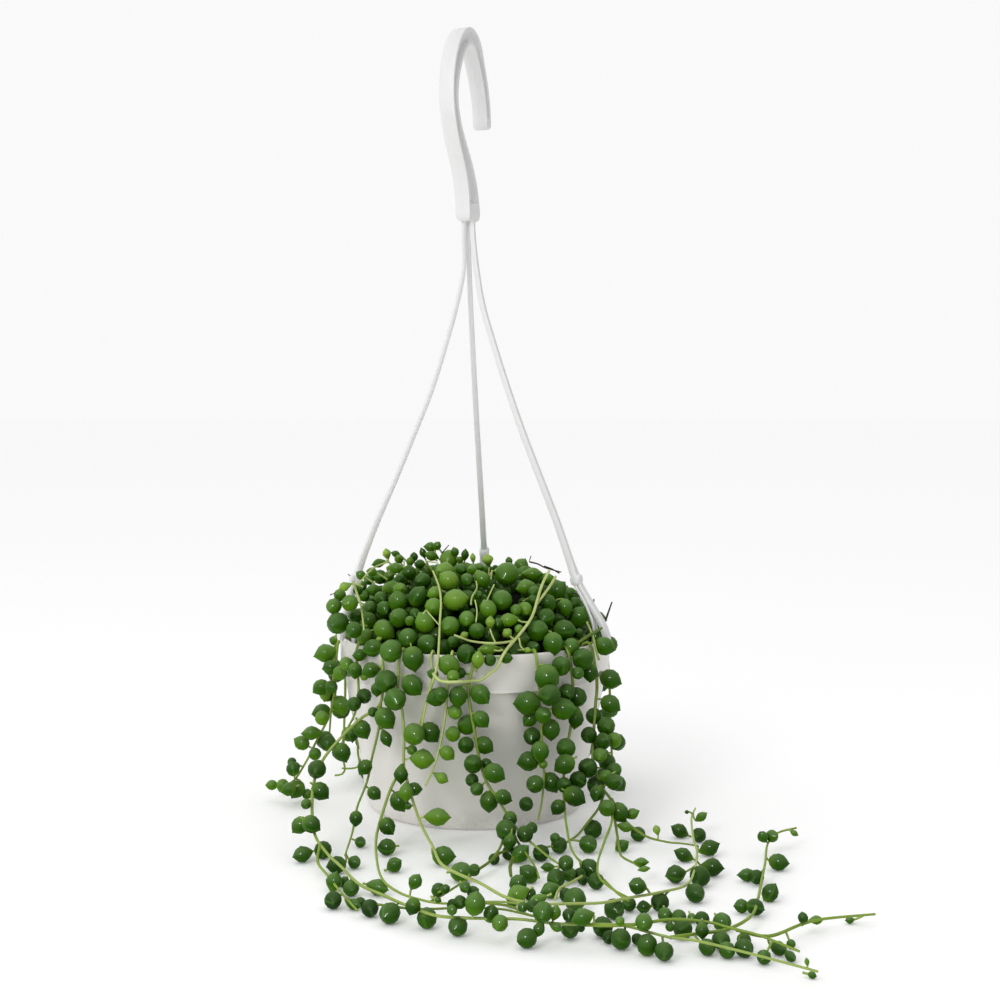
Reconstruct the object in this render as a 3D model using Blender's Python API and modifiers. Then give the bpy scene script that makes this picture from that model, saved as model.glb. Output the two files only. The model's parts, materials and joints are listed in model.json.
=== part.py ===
# Potted string of pearls in a hanging pot that stands on the floor with its hanger held up.
# Metres, +Z up. The origin is the centre of the pot's base, the front is -Y and the right is +X.
import math
import random

import bpy
import bmesh
from mathutils import Matrix, Vector

MM = 0.001
GAP = 0.35                  # mm kept between neighbouring pieces
SEED = 7

# Pot, in mm: radius and height along its section
RIM_TOP = 83.0
RIM_RADIUS = 66.2
POT_STEPS = 36
SOIL_STEPS = 32
POT_INSIDE = [(50.6, 2.2), (52.4, 4.4), (55.7, 30.0), (60.2, 50.5), (62.0, 62.6), (63.6, 66.6), (64.4, 82.4)]
POT_OUTSIDE = [(64.8, RIM_TOP), (65.8, RIM_TOP), (RIM_RADIUS, 82.4), (66.0, 71.0), (65.5, 65.6), (64.2, 64.6),
               (63.7, 62.4), (61.9, 50.5), (57.3, 30.0), (53.8, 3.6), (52.8, 1.4), (51.0, 0.0)]
STRAND_AZIMUTHS = {"left": 203.0, "right": 335.0, "back": 85.0}
BAND_SLOT = (67.6, 3.5, 1.6)             # height, half length and half height of the slot under each clip
DRAIN_HOLES = (4, 32.0, 7.0)             # how many, on what radius, how wide

# Soil and crown, in mm
SOIL_TOP = 76.0
SOIL_SECTION = [(63.6, SOIL_TOP), (63.1, 67.2), (61.5, 62.8), (59.7, 50.5), (55.2, 30.0), (51.9, 4.8),
                (50.0, 2.6)]
CROWN_SECTION = [(20.0, 111.6), (34.0, 109.0), (45.0, 104.0), (52.0, 96.0), (57.0, 84.0),
                 (57.0, SOIL_TOP + GAP)]
CROWN_TOP = 112.0
CROWN_TRIES = 900
CORE_STEPS = 18
CORE_HEART = 84.0           # height that the crown's pearls spread from
CROWN_PETIOLE = (1.8, 5.0)
CROWN_ROOT_DEPTH = 2.5      # how far a pearl's root is sunk into the core
CROWN_LOWEST = -0.05        # cosine of the lowest lean from the vertical
CROWN_TILT = 14.0
CROWN_SPACING = 1.12

# Hook, in mm: distance along its plane, height, half depth of the section
HOOK_TURN = 64.0
HOOK_WIDTH = 7.7
HOOK_RECESS = 2.7
HOOK_RIB = 1.3
HOOK_STEP = 7.0
HOOK_PATH = [(-8.0, 285.0, 5.8), (-8.4, 292.0, 5.6), (-10.0, 300.0, 5.0), (-13.5, 309.0, 4.3),
             (-19.5, 319.0, 3.6), (-25.0, 329.0, 2.9), (-28.2, 340.0, 2.6), (-27.8, 351.0, 3.0),
             (-24.3, 363.0, 3.6), (-18.5, 372.5, 4.1), (-11.5, 376.6, 4.2), (-4.5, 372.6, 3.8),
             (0.3, 363.0, 3.1), (4.3, 353.0, 2.7), (7.0, 343.0, 2.5), (8.2, 331.8, 2.3)]
RECESS_FROM, RECESS_TO = 0.075, 0.95     # part of the hook's length that is recessed
SOCKET_DEPTH = 5.0

# Strands, in mm: where they leave the hook's foot, then reach and height on each strand's own azimuth
FOOT = (-3.4, -6.6)
STRAND_RADIUS = 1.3
STRAND_TOP = (2.2, 289.6)
STRAND_HEIGHTS = [276.0, 262.0, 244.5, 225.0, 203.0, 182.0, 161.0, 140.0, 126.0, 115.0, 110.0]
STRAND_REACHES = {
    "left": [2.3, 2.6, 6.7, 12.9, 20.8, 30.2, 40.0, 50.3, 56.6, 61.0, 62.0],
    "right": [2.8, 4.2, 6.9, 12.5, 19.6, 27.0, 35.3, 43.6, 48.5, 52.3, 54.6],
    "back": [2.5, 3.3, 6.7, 12.7, 20.2, 28.6, 37.7, 47.0, 52.6, 56.9, 58.6]}
STRAIGHTENED = 115.0        # height where a strand has left the foot's own offset behind
CLIP_TOP = 113.0
CLIP_WIDTH = 4.0
CLIP_RODS = [((61.5, 94.0), (62.7, 78.0)), ((67.8, 93.0), (68.6, 82.0)), ((63.0, 87.0), (67.0, 87.0))]
CLIP_ROOM = 3.2             # half thickness of the clip with the room it keeps

# Leafy stems, in mm
STEM_RADIUS = 0.8
STEM_STEP = 12.0
PEARL_RADIUS = (3.9, 4.8)
PEARL_SPACING = (16.0, 23.0)
TIP_STRETCH = 1.25
PETIOLE = (0.8, 2.4)
GOLDEN_TURN = 137.5
FIRST_PEARL = (14.0, 5.0)   # distance of the first pearl along a main stem and along a side stem
OVER_THE_RIM = [(57.7, SOIL_TOP + STEM_RADIUS + GAP), (62.3, 82.2), (65.4, RIM_TOP + STEM_RADIUS + 0.75),
                (68.4, 81.6)]

# Each stem: azimuth where it leaves the pot, then its own route, then side routes that start on it
STRINGS = {
    "string_front_left": (232.0, [
        (-43, -55, 60), (-52, -52, 52), (-60, -55, 45), (-69, -62, 35), (-72, -75, 26), (-70, -92, 12),
        (-63, -110, 8), (-55, -127, 7), (-46, -149, 7), (-36, -162, 7), (-26, -174, 7), (-15, -185, 7),
        (-3, -188, 7), (16, -192, 8), (31, -197, 8), (52, -198, 8), (62, -205, 8), (70, -208, 7),
        (80, -212, 7), (100, -227, 7), (117, -235, 5)], [
        [(-43, -55, 60), (-44, -57, 48), (-47, -58, 35), (-49, -61, 25), (-53, -67, 15), (-54, -82, 8),
         (-55, -108, 6)],
        [(-66, -104, 9), (-66, -114, 5), (-60, -130, 4), (-53, -150, 4), (-45, -171, 4)],
        [(38, -198, 8), (55, -204, 10), (72, -198, 10), (85, -198, 9), (92, -204, 9), (102, -209, 8),
         (114, -219, 6)],
        [(94, -206, 9), (106, -204, 6), (121, -189, 5), (131, -183, 5), (152, -175, 4)],
        [(70, -208, 7), (83, -198, 5), (93, -194, 5), (104, -180, 5), (110, -161, 5), (115, -142, 6),
         (121, -118, 6), (127, -92, 6), (134, -79, 7), (143, -75, 8)]]),
    "string_middle": (240.0, [
        (-35, -61, 68), (-33, -63, 58), (-32, -66, 46), (-32, -68, 34), (-30, -71, 27), (-27, -75, 18),
        (-23, -85, 11), (-18, -103, 8), (-14, -126, 8), (-7, -139, 8), (2, -151, 8), (12, -171, 9),
        (23, -178, 9), (37, -178, 9), (48, -177, 9), (58, -169, 8), (70, -163, 8), (83, -151, 7),
        (89, -134, 7), (94, -108, 7), (95, -90, 8), (98, -63, 9), (101, -54, 11)], [
        [(-32, -68, 33), (-37, -71, 26), (-41, -75, 15), (-43, -88, 8), (-41, -116, 6), (-37, -141, 6),
         (-30, -153, 5), (-22, -161, 5), (-12, -166, 5), (4, -161, 4), (14, -162, 4), (24, -168, 4)]]),
    "string_short_left": (216.0, [(-54, -46, 62), (-56, -46, 52), (-60, -46, 44), (-63, -45, 34)], []),
    "string_left": (196.0, [
        (-67, -19, 70), (-68, -15, 56), (-71, -12, 44), (-78, -9, 30), (-83, -7, 20), (-90, -4, 10),
        (-101, 1, 6)], []),
    "string_short_middle": (253.0, [(-19, -68, 76), (-21, -69, 66), (-24, -71, 52)], []),
    "string_pale": (261.0, [
        (-12, -69, 72), (-13, -70, 60), (-15, -71, 47), (-18, -75, 36), (-22, -80, 28)], []),
    "string_centre": (270.0, [
        (-3, -70, 70), (-2, -71, 60), (0, -72, 49), (2, -73, 38), (5, -76, 29), (10, -79, 22), (15, -84, 15),
        (20, -90, 10), (28, -109, 8), (33, -123, 8), (38, -133, 8)], [
        [(15, -84, 15), (18, -93, 8), (23, -109, 5), (25, -122, 5), (26, -135, 5)],
        [(14, -83, 16), (12, -94, 8), (8, -108, 5), (3, -118, 4), (-2, -127, 3)]]),
    "string_right_of_centre": (294.0, [
        (29, -63, 67), (30, -64, 49), (31, -67, 31), (30, -72, 20), (28, -77, 12)], []),
    "string_front_right": (309.0, [
        (45, -53, 66), (44, -55, 50), (41, -60, 36), (40, -65, 24), (40, -73, 16), (40, -90, 12),
        (41, -107, 8), (44, -123, 7)], []),
    "string_right": (323.0, [
        (57, -40, 66), (56, -44, 56), (55, -48, 46), (54, -53, 34), (56, -56, 26), (59, -59, 20),
        (62, -60, 16), (61, -74, 11), (56, -95, 8), (51, -121, 7), (50, -140, 7), (54, -148, 5), (60, -156, 4)], [
        [(59, -59, 20), (56, -64, 14), (50, -69, 8), (45, -77, 5), (38, -86, 4), (31, -90, 4)],
        [(62, -60, 17), (63, -74, 7), (62, -98, 6), (62, -110, 6), (66, -119, 6), (70, -125, 5)],
        [(62, -60, 17), (67, -64, 9), (75, -80, 6), (84, -86, 5), (90, -88, 5)]]),
}
# Stems at the sides and the back leave the pot at these azimuths and follow a seeded rule
HIDDEN_AZIMUTHS = [14, 33, 50, 66, 99, 115, 131, 147, 163, 180]
HIDDEN_HEIGHTS = (66.0, 48.0, 30.0, 16.0, 7.0)
HIDDEN_ENDS = (7.0, 7.0, 7.0, 26.0)      # lowest height of a hidden stem: three in four reach the floor
HIDDEN_FOOT = (69.5, 74.0)
HIDDEN_STEP = 15.0

POT_COLOUR = (0.86, 0.86, 0.84)
SOIL_COLOUR = (0.03, 0.02, 0.015)
PEARL_COLOUR = (0.05, 0.2, 0.03)


def polar(azimuth, radius, height):
    angle = math.radians(azimuth)
    return Vector((radius * math.cos(angle), radius * math.sin(angle), height))


def material(name, colour, roughness):
    made = bpy.data.materials.new(name)
    made.use_nodes = True
    shader = made.node_tree.nodes["Principled BSDF"]
    shader.inputs["Base Color"].default_value = (*colour, 1.0)
    shader.inputs["Roughness"].default_value = roughness
    shader.inputs["Metallic"].default_value = 0.0
    return made


def link(name, mesh, collection, surface=None):
    made = bpy.data.objects.new(name, mesh)
    collection.objects.link(made)
    if surface:
        mesh.materials.append(surface)
    return made


def turned(name, section, steps, collection, surface=None):
    """A profile from the axis round the outer side and back to the axis, turned with Screw."""
    mesh = bpy.data.meshes.new(name)
    points = [(radius * MM, 0.0, height * MM) for radius, height in section]
    mesh.from_pydata(points, [(i, i + 1) for i in range(len(points) - 1)], [])
    made = link(name, mesh, collection, surface)
    screw = made.modifiers.new("turn", "SCREW")
    screw.steps = screw.render_steps = steps
    screw.use_merge_vertices = True
    screw.merge_threshold = 0.00001
    screw.use_smooth_shade = True
    return made


def as_mesh(curve_object, collection):
    """Replaces a curve object by its mesh, with the loose caps welded."""
    depsgraph = bpy.context.evaluated_depsgraph_get()
    mesh = bpy.data.meshes.new_from_object(curve_object.evaluated_get(depsgraph))
    shape = bmesh.new()
    shape.from_mesh(mesh)
    bmesh.ops.remove_doubles(shape, verts=shape.verts, dist=0.000005)
    shape.to_mesh(mesh)
    shape.free()
    name, place = curve_object.name, curve_object.matrix_world.copy()
    curve = curve_object.data
    bpy.data.objects.remove(curve_object)
    bpy.data.curves.remove(curve)
    made = link(name, mesh, collection)
    made.matrix_world = place
    return made


def plate(name, outlines, thickness, place, collection):
    """A flat outline, or one with holes, as a plate of the given thickness."""
    curve = bpy.data.curves.new(name, "CURVE")
    curve.dimensions = "2D"
    curve.fill_mode = "BOTH"
    curve.extrude = thickness / 2 * MM
    for outline in outlines:
        spline = curve.splines.new("POLY")
        spline.points.add(len(outline) - 1)
        for point, (across, up) in zip(spline.points, outline):
            point.co = (across * MM, up * MM, 0.0, 1.0)
        spline.use_cyclic_u = True
    made = link(name, curve, collection)
    made.matrix_world = place
    bpy.context.view_layer.update()
    return as_mesh(made, collection)


def tube(name, points, radius, resolution, collection):
    curve = bpy.data.curves.new(name, "CURVE")
    curve.dimensions = "3D"
    curve.bevel_depth = radius * MM
    curve.bevel_resolution = resolution
    curve.use_fill_caps = True
    spline = curve.splines.new("POLY")
    spline.points.add(len(points) - 1)
    for point, place in zip(spline.points, points):
        point.co = (*(place * MM), 1.0)
    made = link(name, curve, collection)
    bpy.context.view_layer.update()
    return as_mesh(made, collection)


def cylinder(name, radius, depth, place, collection, sides=16):
    shape = bmesh.new()
    bmesh.ops.create_cone(shape, cap_ends=True, segments=sides, radius1=radius * MM, radius2=radius * MM,
                          depth=depth * MM, matrix=place)
    mesh = bpy.data.meshes.new(name)
    shape.to_mesh(mesh)
    shape.free()
    made = link(name, mesh, collection)
    hide(made)
    return made


def hide(cutter):
    cutter.hide_render = True
    cutter.display_type = "WIRE"


def cut(target, cutter, solver="EXACT"):
    modifier = target.modifiers.new("cut", "BOOLEAN")
    modifier.operation = "DIFFERENCE"
    modifier.solver = solver
    modifier.object = cutter


def join(base, pieces, surface):
    """One union of a base with a collection of pieces, applied; the pieces are then removed."""
    modifier = base.modifiers.new("join", "BOOLEAN")
    modifier.operation = "UNION"
    modifier.solver = "EXACT"
    modifier.operand_type = "COLLECTION"
    modifier.collection = pieces
    depsgraph = bpy.context.evaluated_depsgraph_get()
    joined = bpy.data.meshes.new_from_object(base.evaluated_get(depsgraph))
    base.modifiers.clear()
    base.data = joined
    joined.materials.clear()
    joined.materials.append(surface)
    joined.shade_smooth()
    joined.set_sharp_from_angle(angle=math.radians(50))
    for piece in list(pieces.objects):
        bpy.data.objects.remove(piece)
    bpy.data.collections.remove(pieces)


def smooth_route(points, step):
    """Points about one step apart on a smooth curve through the given points."""
    places = [Vector(point) for point in points]
    places = [2 * places[0] - places[1]] + places + [2 * places[-1] - places[-2]]
    route = []
    for i in range(1, len(places) - 2):
        before, here, there, after = places[i - 1:i + 3]
        pieces = max(1, round((there - here).length / step))
        for k in range(pieces):
            t = k / pieces
            route.append(0.5 * (2 * here + (there - before) * t
                                + (2 * before - 5 * here + 4 * there - after) * t * t
                                + (3 * here - before - 3 * there + after) * t ** 3))
    route.append(places[-2])
    return route


def distance_to_segment(point, start, end):
    along = end - start
    t = max(0.0, min(1.0, (point - start).dot(along) / max(along.length_squared, 1e-9)))
    return (point - start - along * t).length


def distance_to_turned(point, section):
    """Distance from a point to a turned surface, measured in the plane through the axis."""
    flat = Vector((math.hypot(point.x, point.y), 0.0, point.z))
    places = [Vector((radius, 0.0, height)) for radius, height in section]
    return min(distance_to_segment(flat, a, b) for a, b in zip(places, places[1:]))


class Room:
    """Remembers what every node fills, as balls and rods, and says if a new piece would be clear."""

    def __init__(self):
        self.balls = []
        self.rods = []

    def add_route(self, node, route, radius):
        self.rods += [(node, a, b, radius) for a, b in zip(route, route[1:])]

    def is_clear(self, node, balls, own_balls=1.0):
        for centre, radius in balls:
            if centre.z < radius + GAP or distance_to_turned(centre, POT_INSIDE + POT_OUTSIDE) < radius + GAP:
                return False
            if math.hypot(centre.x, centre.y) < 64.0 and centre.z < SOIL_TOP + radius + GAP:
                return False
            if node != "crown" and distance_to_turned(centre, CROWN_SECTION) < radius + GAP:
                return False
            for other, place, size in self.balls:
                reach = radius + size
                if other == node:
                    if (centre - place).length < reach * own_balls:
                        return False
                elif (centre - place).length < reach + GAP:
                    return False
            for other, a, b, size in self.rods:
                if other != node and distance_to_segment(centre, a, b) < radius + size + GAP:
                    return False
        return True

    def add(self, node, balls):
        self.balls += [(node, centre, radius) for centre, radius in balls]


def pearl_balls(root, direction, radius, petiole):
    """Balls that stand for a pearl with its tip, for the room it needs."""
    centre = root + direction * (petiole + radius)
    return [(centre, radius), (centre + direction * radius * 0.95, radius * 0.32)]


def add_pearl(root, direction, radius, petiole, collection):
    """A pearl leaf: a ball whose root pole reaches into its stem and whose other pole is a point."""
    shape = bmesh.new()
    bmesh.ops.create_icosphere(shape, subdivisions=1, radius=radius)
    poles = sorted(shape.verts, key=lambda vertex: vertex.co.z)
    poles[0].co.z = -(radius + petiole)
    poles[-1].co.z = radius * TIP_STRETCH
    centre = root + direction * (radius + petiole)
    turn = direction.to_track_quat("Z", "Y").to_matrix().to_4x4()
    place = Matrix.Scale(MM, 4) @ Matrix.Translation(centre) @ turn
    bmesh.ops.transform(shape, matrix=place, verts=shape.verts)
    mesh = bpy.data.meshes.new("pearl")
    shape.to_mesh(mesh)
    shape.free()
    link("pearl", mesh, collection)


def across(tangent, angle):
    """A direction square to the tangent, turned about it."""
    side = tangent.cross(Vector((0.31, 0.17, 0.93))).normalized()
    return (Matrix.Rotation(angle, 3, tangent) @ side).normalized()


def over_the_rim(azimuth):
    return [polar(azimuth, radius, height) for radius, height in OVER_THE_RIM]


def hidden_route(azimuth, draw):
    """A stem that hangs down the pot's side and then lies on the floor, by a seeded rule."""
    route = over_the_rim(azimuth)
    outside, top = OVER_THE_RIM[-1]
    foot = draw.uniform(*HIDDEN_FOOT)
    low = draw.choice(HIDDEN_ENDS)
    for height in HIDDEN_HEIGHTS:
        if height >= low:
            azimuth += draw.uniform(-1.5, 1.5)
            fallen = (top - height) / (top - HIDDEN_HEIGHTS[-1])
            route.append(polar(azimuth, outside + (foot - outside) * fallen, height))
    if low == HIDDEN_HEIGHTS[-1]:
        heading = math.radians(azimuth + draw.uniform(-25.0, 25.0))
        place = route[-1]
        for _ in range(draw.randint(1, 4)):
            heading += math.radians(draw.uniform(-22.0, 22.0))
            place = place + Vector((math.cos(heading), math.sin(heading), 0.0)) * HIDDEN_STEP
            route.append(Vector((place.x, place.y, draw.uniform(4.5, 7.0))))
    return route


def place_pearls(node, route, room, draw, start):
    """Chooses where the pearls of one stem sit: alternate, at the real spacing, and clear of other pieces."""
    chosen = []
    turn = draw.uniform(0.0, 360.0)
    travelled, following = 0.0, start
    for a, b in zip(route, route[1:]):
        length = (b - a).length
        while travelled + length > following:
            root = a.lerp(b, (following - travelled) / length)
            tangent = (b - a).normalized()
            turn += GOLDEN_TURN + draw.uniform(-25.0, 25.0)
            radius = draw.uniform(*PEARL_RADIUS)
            petiole = draw.uniform(*PETIOLE)
            for attempt in range(12):
                spin = math.radians(turn + attempt * 97.0)
                direction = (across(tangent, spin) + tangent * draw.uniform(0.0, 0.5)).normalized()
                balls = pearl_balls(root, direction, radius, petiole)
                if room.is_clear(node, balls):
                    room.add(node, balls)
                    chosen.append((root, direction, radius, petiole))
                    break
            following += draw.uniform(*PEARL_SPACING)
        travelled += length
    return chosen


def hook_outline(inset, start=0.0, end=1.0):
    """The hook's outline in its own plane, drawn in from its edges by the inset."""
    line = smooth_route(HOOK_PATH, HOOK_STEP)
    outer, inner = [], []
    first, last = round(start * (len(line) - 1)), round(end * (len(line) - 1))
    for i in range(first, last + 1):
        along, up, half = line[i]
        run = line[min(i + 1, len(line) - 1)] - line[max(i - 1, 0)]
        normal = Vector((-run.y, run.x)).normalized() * (half - inset)
        outer.append((along + normal.x, up + normal.y))
        inner.append((along - normal.x, up - normal.y))
    return outer + inner[::-1]


def make_pot(parts, cutters, surface):
    section = [(0.0, POT_INSIDE[0][1])] + POT_INSIDE + POT_OUTSIDE + [(0.0, 0.0)]
    pot = turned("pot", section, POT_STEPS, parts, surface)
    height, half_length, half_height = BAND_SLOT
    oval = [(half_length * math.cos(turn), half_height * math.sin(turn))
            for turn in (math.tau * k / 12 for k in range(12))]
    for name, azimuth in STRAND_AZIMUTHS.items():
        place = (Matrix.Translation(polar(azimuth, RIM_RADIUS - 1.2, height) * MM)
                 @ Matrix.Rotation(math.radians(azimuth + 90.0), 4, "Z")
                 @ Matrix.Rotation(math.pi / 2, 4, "X"))
        slot = plate("slot_" + name, [oval], 8.0, place, cutters)
        hide(slot)
        cut(pot, slot)
    count, ring, width = DRAIN_HOLES
    for k in range(count):
        place = Matrix.Translation(polar(45.0 + 360.0 / count * k, ring, 1.0) * MM)
        cut(pot, cylinder("drain_%d" % k, width / 2, 8.0, place, cutters))


def make_hook(parts, cutters, surface):
    stand = Matrix.Rotation(math.radians(HOOK_TURN), 4, "Z") @ Matrix.Rotation(math.pi / 2, 4, "X")
    hook = plate("hook", [hook_outline(0.0)], HOOK_WIDTH, stand, parts)
    hook.data.materials.append(surface)
    for side in (-1.0, 1.0):
        shift = Matrix.Translation((0.0, 0.0, side * HOOK_WIDTH / 2 * MM))
        outline = hook_outline(HOOK_RIB, RECESS_FROM, RECESS_TO)
        recess = plate("recess", [outline], HOOK_RECESS * 2, stand @ shift, cutters)
        hide(recess)
        cut(hook, recess, "MANIFOLD")
    for name in STRAND_AZIMUTHS:
        top = strand_route(name)[0]
        place = Matrix.Translation(Vector((top.x, top.y, HOOK_PATH[0][1])) * MM)
        cut(hook, cylinder("socket_" + name, STRAND_RADIUS + GAP, SOCKET_DEPTH * 2, place, cutters, 12),
            "MANIFOLD")


def strand_route(name):
    """The points of a strand: it leaves the hook's foot and spreads towards its own side of the rim."""
    route = []
    for reach, height in [STRAND_TOP] + list(zip(STRAND_REACHES[name], STRAND_HEIGHTS)):
        left_behind = min(1.0, max(0.0, (STRAND_HEIGHTS[0] - height) / (STRAND_HEIGHTS[0] - STRAIGHTENED)))
        foot = Vector((*FOOT, 0.0)) * (1.0 - left_behind)
        route.append(foot + polar(STRAND_AZIMUTHS[name], reach, height))
    return route


def clip_outlines(top):
    """The hairpin clip in the plane through the axis: its outer edge and the slot between its two straps."""
    seat = RIM_TOP + GAP
    edge = [(top - 2.4, CLIP_TOP), (top - 3.4, 108.5), (0.3 * top + 40.0, 93.0), (61.8, 85.0), (61.8, 76.6),
            (63.6, 76.6), (63.9, seat), (66.8, seat), (66.9, 79.6), (70.2, 79.6), (71.2, 88.0), (69.6, 95.5),
            (top + 3.6, 108.0), (top + 2.4, CLIP_TOP)]
    slot = [(64.2, 87.4), (66.4, 87.4), (top + 2.0, 109.0), (top + 0.8, 109.0)]
    return [edge, slot]


def make_strand(name, parts, surface, room):
    node = "strand_" + name
    azimuth = STRAND_AZIMUTHS[name]
    route = strand_route(name)
    strand = tube(node, smooth_route(route, 12.0), STRAND_RADIUS, 2, parts)
    stand = Matrix.Rotation(math.radians(azimuth), 4, "Z") @ Matrix.Rotation(math.pi / 2, 4, "X")
    pieces = bpy.data.collections.new("pieces")
    bpy.context.scene.collection.children.link(pieces)
    top = STRAND_REACHES[name][-2]
    plate("clip", clip_outlines(top), CLIP_WIDTH, stand, pieces)
    join(strand, pieces, surface)
    room.add_route(node, route, STRAND_RADIUS)
    for start, end in [((top, 112.0), (60.0, 94.0)), ((top + 1.0, 110.0), (68.0, 93.0))] + CLIP_RODS:
        room.add_route(node, [polar(azimuth, *start), polar(azimuth, *end)], CLIP_ROOM)


def make_string(node, routes, parts, surface, room, draw):
    """One leafy stem: a thin tube for each route, and its pearls, joined into one body."""
    pieces = bpy.data.collections.new("pieces")
    bpy.context.scene.collection.children.link(pieces)
    stem = tube(node, routes[0], STEM_RADIUS, 0, parts)
    for route in routes[1:]:
        tube("side_stem", route, STEM_RADIUS * 0.9, 0, pieces)
    for k, route in enumerate(routes):
        for pearl in place_pearls(node, route, room, draw, FIRST_PEARL[min(k, 1)]):
            add_pearl(*pearl, pieces)
    join(stem, pieces, surface)


def make_crown(parts, surface, room, draw):
    """The mound: a smaller core that the pearls stand out of on all sides."""
    section = [(0.0, CROWN_TOP)] + CROWN_SECTION + [(0.0, SOIL_TOP + GAP)]
    core = turned("crown", section, CORE_STEPS, parts, surface)
    pieces = bpy.data.collections.new("pieces")
    bpy.context.scene.collection.children.link(pieces)
    for _ in range(CROWN_TRIES):
        lean = math.acos(draw.uniform(CROWN_LOWEST, 1.0))
        turn = Matrix.Rotation(math.radians(draw.uniform(0.0, 360.0)), 3, "Z")
        side, height = core_point(lean)
        outward = Vector((math.sin(lean), 0.0, math.cos(lean)))
        root = turn @ (Vector((side, 0.0, height)) - outward * CROWN_ROOT_DEPTH)
        tilt = Matrix.Rotation(math.radians(draw.uniform(-CROWN_TILT, CROWN_TILT)), 3, "Y")
        direction = (turn @ (tilt @ outward)).normalized()
        radius = draw.uniform(*PEARL_RADIUS)
        petiole = draw.uniform(*CROWN_PETIOLE)
        balls = pearl_balls(root, direction, radius, petiole)
        if room.is_clear("crown", balls, CROWN_SPACING):
            room.add("crown", balls)
            add_pearl(root, direction, radius, petiole, pieces)
    join(core, pieces, surface)


def core_point(lean):
    """Where a ray from inside the core, leaning from the vertical, leaves the core's section."""
    ray = Vector((math.sin(lean), math.cos(lean)))
    section = [(0.0, CROWN_TOP)] + CROWN_SECTION
    for start, end in zip(section, section[1:]):
        first = Vector(start) - Vector((0.0, CORE_HEART))
        second = Vector(end) - Vector((0.0, CORE_HEART))
        if ray.cross(first) >= -1e-6 > ray.cross(second) or (lean < 1e-6 and start[0] == 0.0):
            share = ray.cross(first) / (ray.cross(first) - ray.cross(second))
            place = first.lerp(second, share)
            return place.x, place.y + CORE_HEART
    return CROWN_SECTION[-2]


def build():
    for old in list(bpy.data.objects):
        bpy.data.objects.remove(old)
    scene = bpy.context.scene
    parts = bpy.data.collections.new("potted_string_of_pearls")
    cutters = bpy.data.collections.new("cutters")
    scene.collection.children.link(parts)
    scene.collection.children.link(cutters)
    plastic = material("white_plastic", POT_COLOUR, 0.4)
    earth = material("potting_soil", SOIL_COLOUR, 0.95)
    leaf = material("pearl_leaf", PEARL_COLOUR, 0.35)

    room = Room()
    draw = random.Random(SEED)
    make_pot(parts, cutters, plastic)
    section = [(0.0, SOIL_TOP)] + SOIL_SECTION + [(0.0, SOIL_SECTION[-1][1])]
    turned("soil", section, SOIL_STEPS, parts, earth)
    make_hook(parts, cutters, plastic)
    for name in STRAND_AZIMUTHS:
        make_strand(name, parts, plastic, room)

    stems = {}
    for node, (azimuth, route, side_routes) in STRINGS.items():
        stems[node] = [smooth_route(over_the_rim(azimuth) + route, STEM_STEP)]
        stems[node] += [smooth_route(side, STEM_STEP) for side in side_routes]
    for k, azimuth in enumerate(HIDDEN_AZIMUTHS):
        stems["string_behind_%d" % (k + 1)] = [smooth_route(hidden_route(azimuth, draw), STEM_STEP)]
    for node, routes in stems.items():
        for route in routes:
            room.add_route(node, route, STEM_RADIUS)
    for node, routes in stems.items():
        make_string(node, routes, parts, leaf, room, draw)
    make_crown(parts, leaf, room, draw)


build()
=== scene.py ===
import json
import math
import random

import bmesh
import bpy
from mathutils import Matrix, Vector, noise

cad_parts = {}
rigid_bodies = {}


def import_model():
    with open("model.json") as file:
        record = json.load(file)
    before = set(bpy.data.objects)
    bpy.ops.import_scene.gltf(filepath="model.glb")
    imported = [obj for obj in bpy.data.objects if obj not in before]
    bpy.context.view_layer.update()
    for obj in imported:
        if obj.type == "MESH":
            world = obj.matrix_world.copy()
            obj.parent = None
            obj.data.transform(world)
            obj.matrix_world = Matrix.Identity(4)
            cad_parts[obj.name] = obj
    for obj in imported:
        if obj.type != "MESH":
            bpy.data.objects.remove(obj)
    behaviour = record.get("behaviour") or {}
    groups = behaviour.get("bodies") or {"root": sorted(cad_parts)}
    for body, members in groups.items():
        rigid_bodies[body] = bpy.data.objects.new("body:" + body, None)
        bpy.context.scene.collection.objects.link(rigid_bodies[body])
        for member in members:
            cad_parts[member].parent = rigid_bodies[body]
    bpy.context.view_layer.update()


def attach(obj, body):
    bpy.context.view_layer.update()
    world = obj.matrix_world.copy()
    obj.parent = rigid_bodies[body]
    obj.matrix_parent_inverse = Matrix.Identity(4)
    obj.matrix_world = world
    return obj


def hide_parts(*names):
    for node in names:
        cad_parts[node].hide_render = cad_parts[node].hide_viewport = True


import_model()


# The view: a level camera in front of the pot, a little above the leaves, whose picture is slid so that the
# pot's axis stands left of the middle. Places in the photograph are given in pixels of its 1000 pixel square,
# and places on the plant in mm.
MM = 0.001
EYE = Vector((0.0, -0.760, 0.205))
FOCAL = 1540.0
AXIS_X, HORIZON_Y = 475.0, 385.0

camera = bpy.data.objects.new("camera", bpy.data.cameras.new("camera"))
camera.data.sensor_width = 36.0
camera.data.lens = 36.0 * FOCAL / 1000.0
camera.data.shift_x = (500.0 - AXIS_X) / 1000.0
camera.data.shift_y = (HORIZON_Y - 500.0) / 1000.0
camera.data.clip_start = 0.01
camera.location = EYE
camera.rotation_euler = (math.radians(90.0), 0.0, 0.0)
bpy.context.scene.collection.objects.link(camera)
bpy.context.scene.camera = camera
bpy.context.scene.view_settings.view_transform = "Standard"


def pixel_size(y):
    """How many mm a pixel of the photograph spans at the depth y."""
    return (y - EYE.y * 1000.0) / FOCAL


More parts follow.
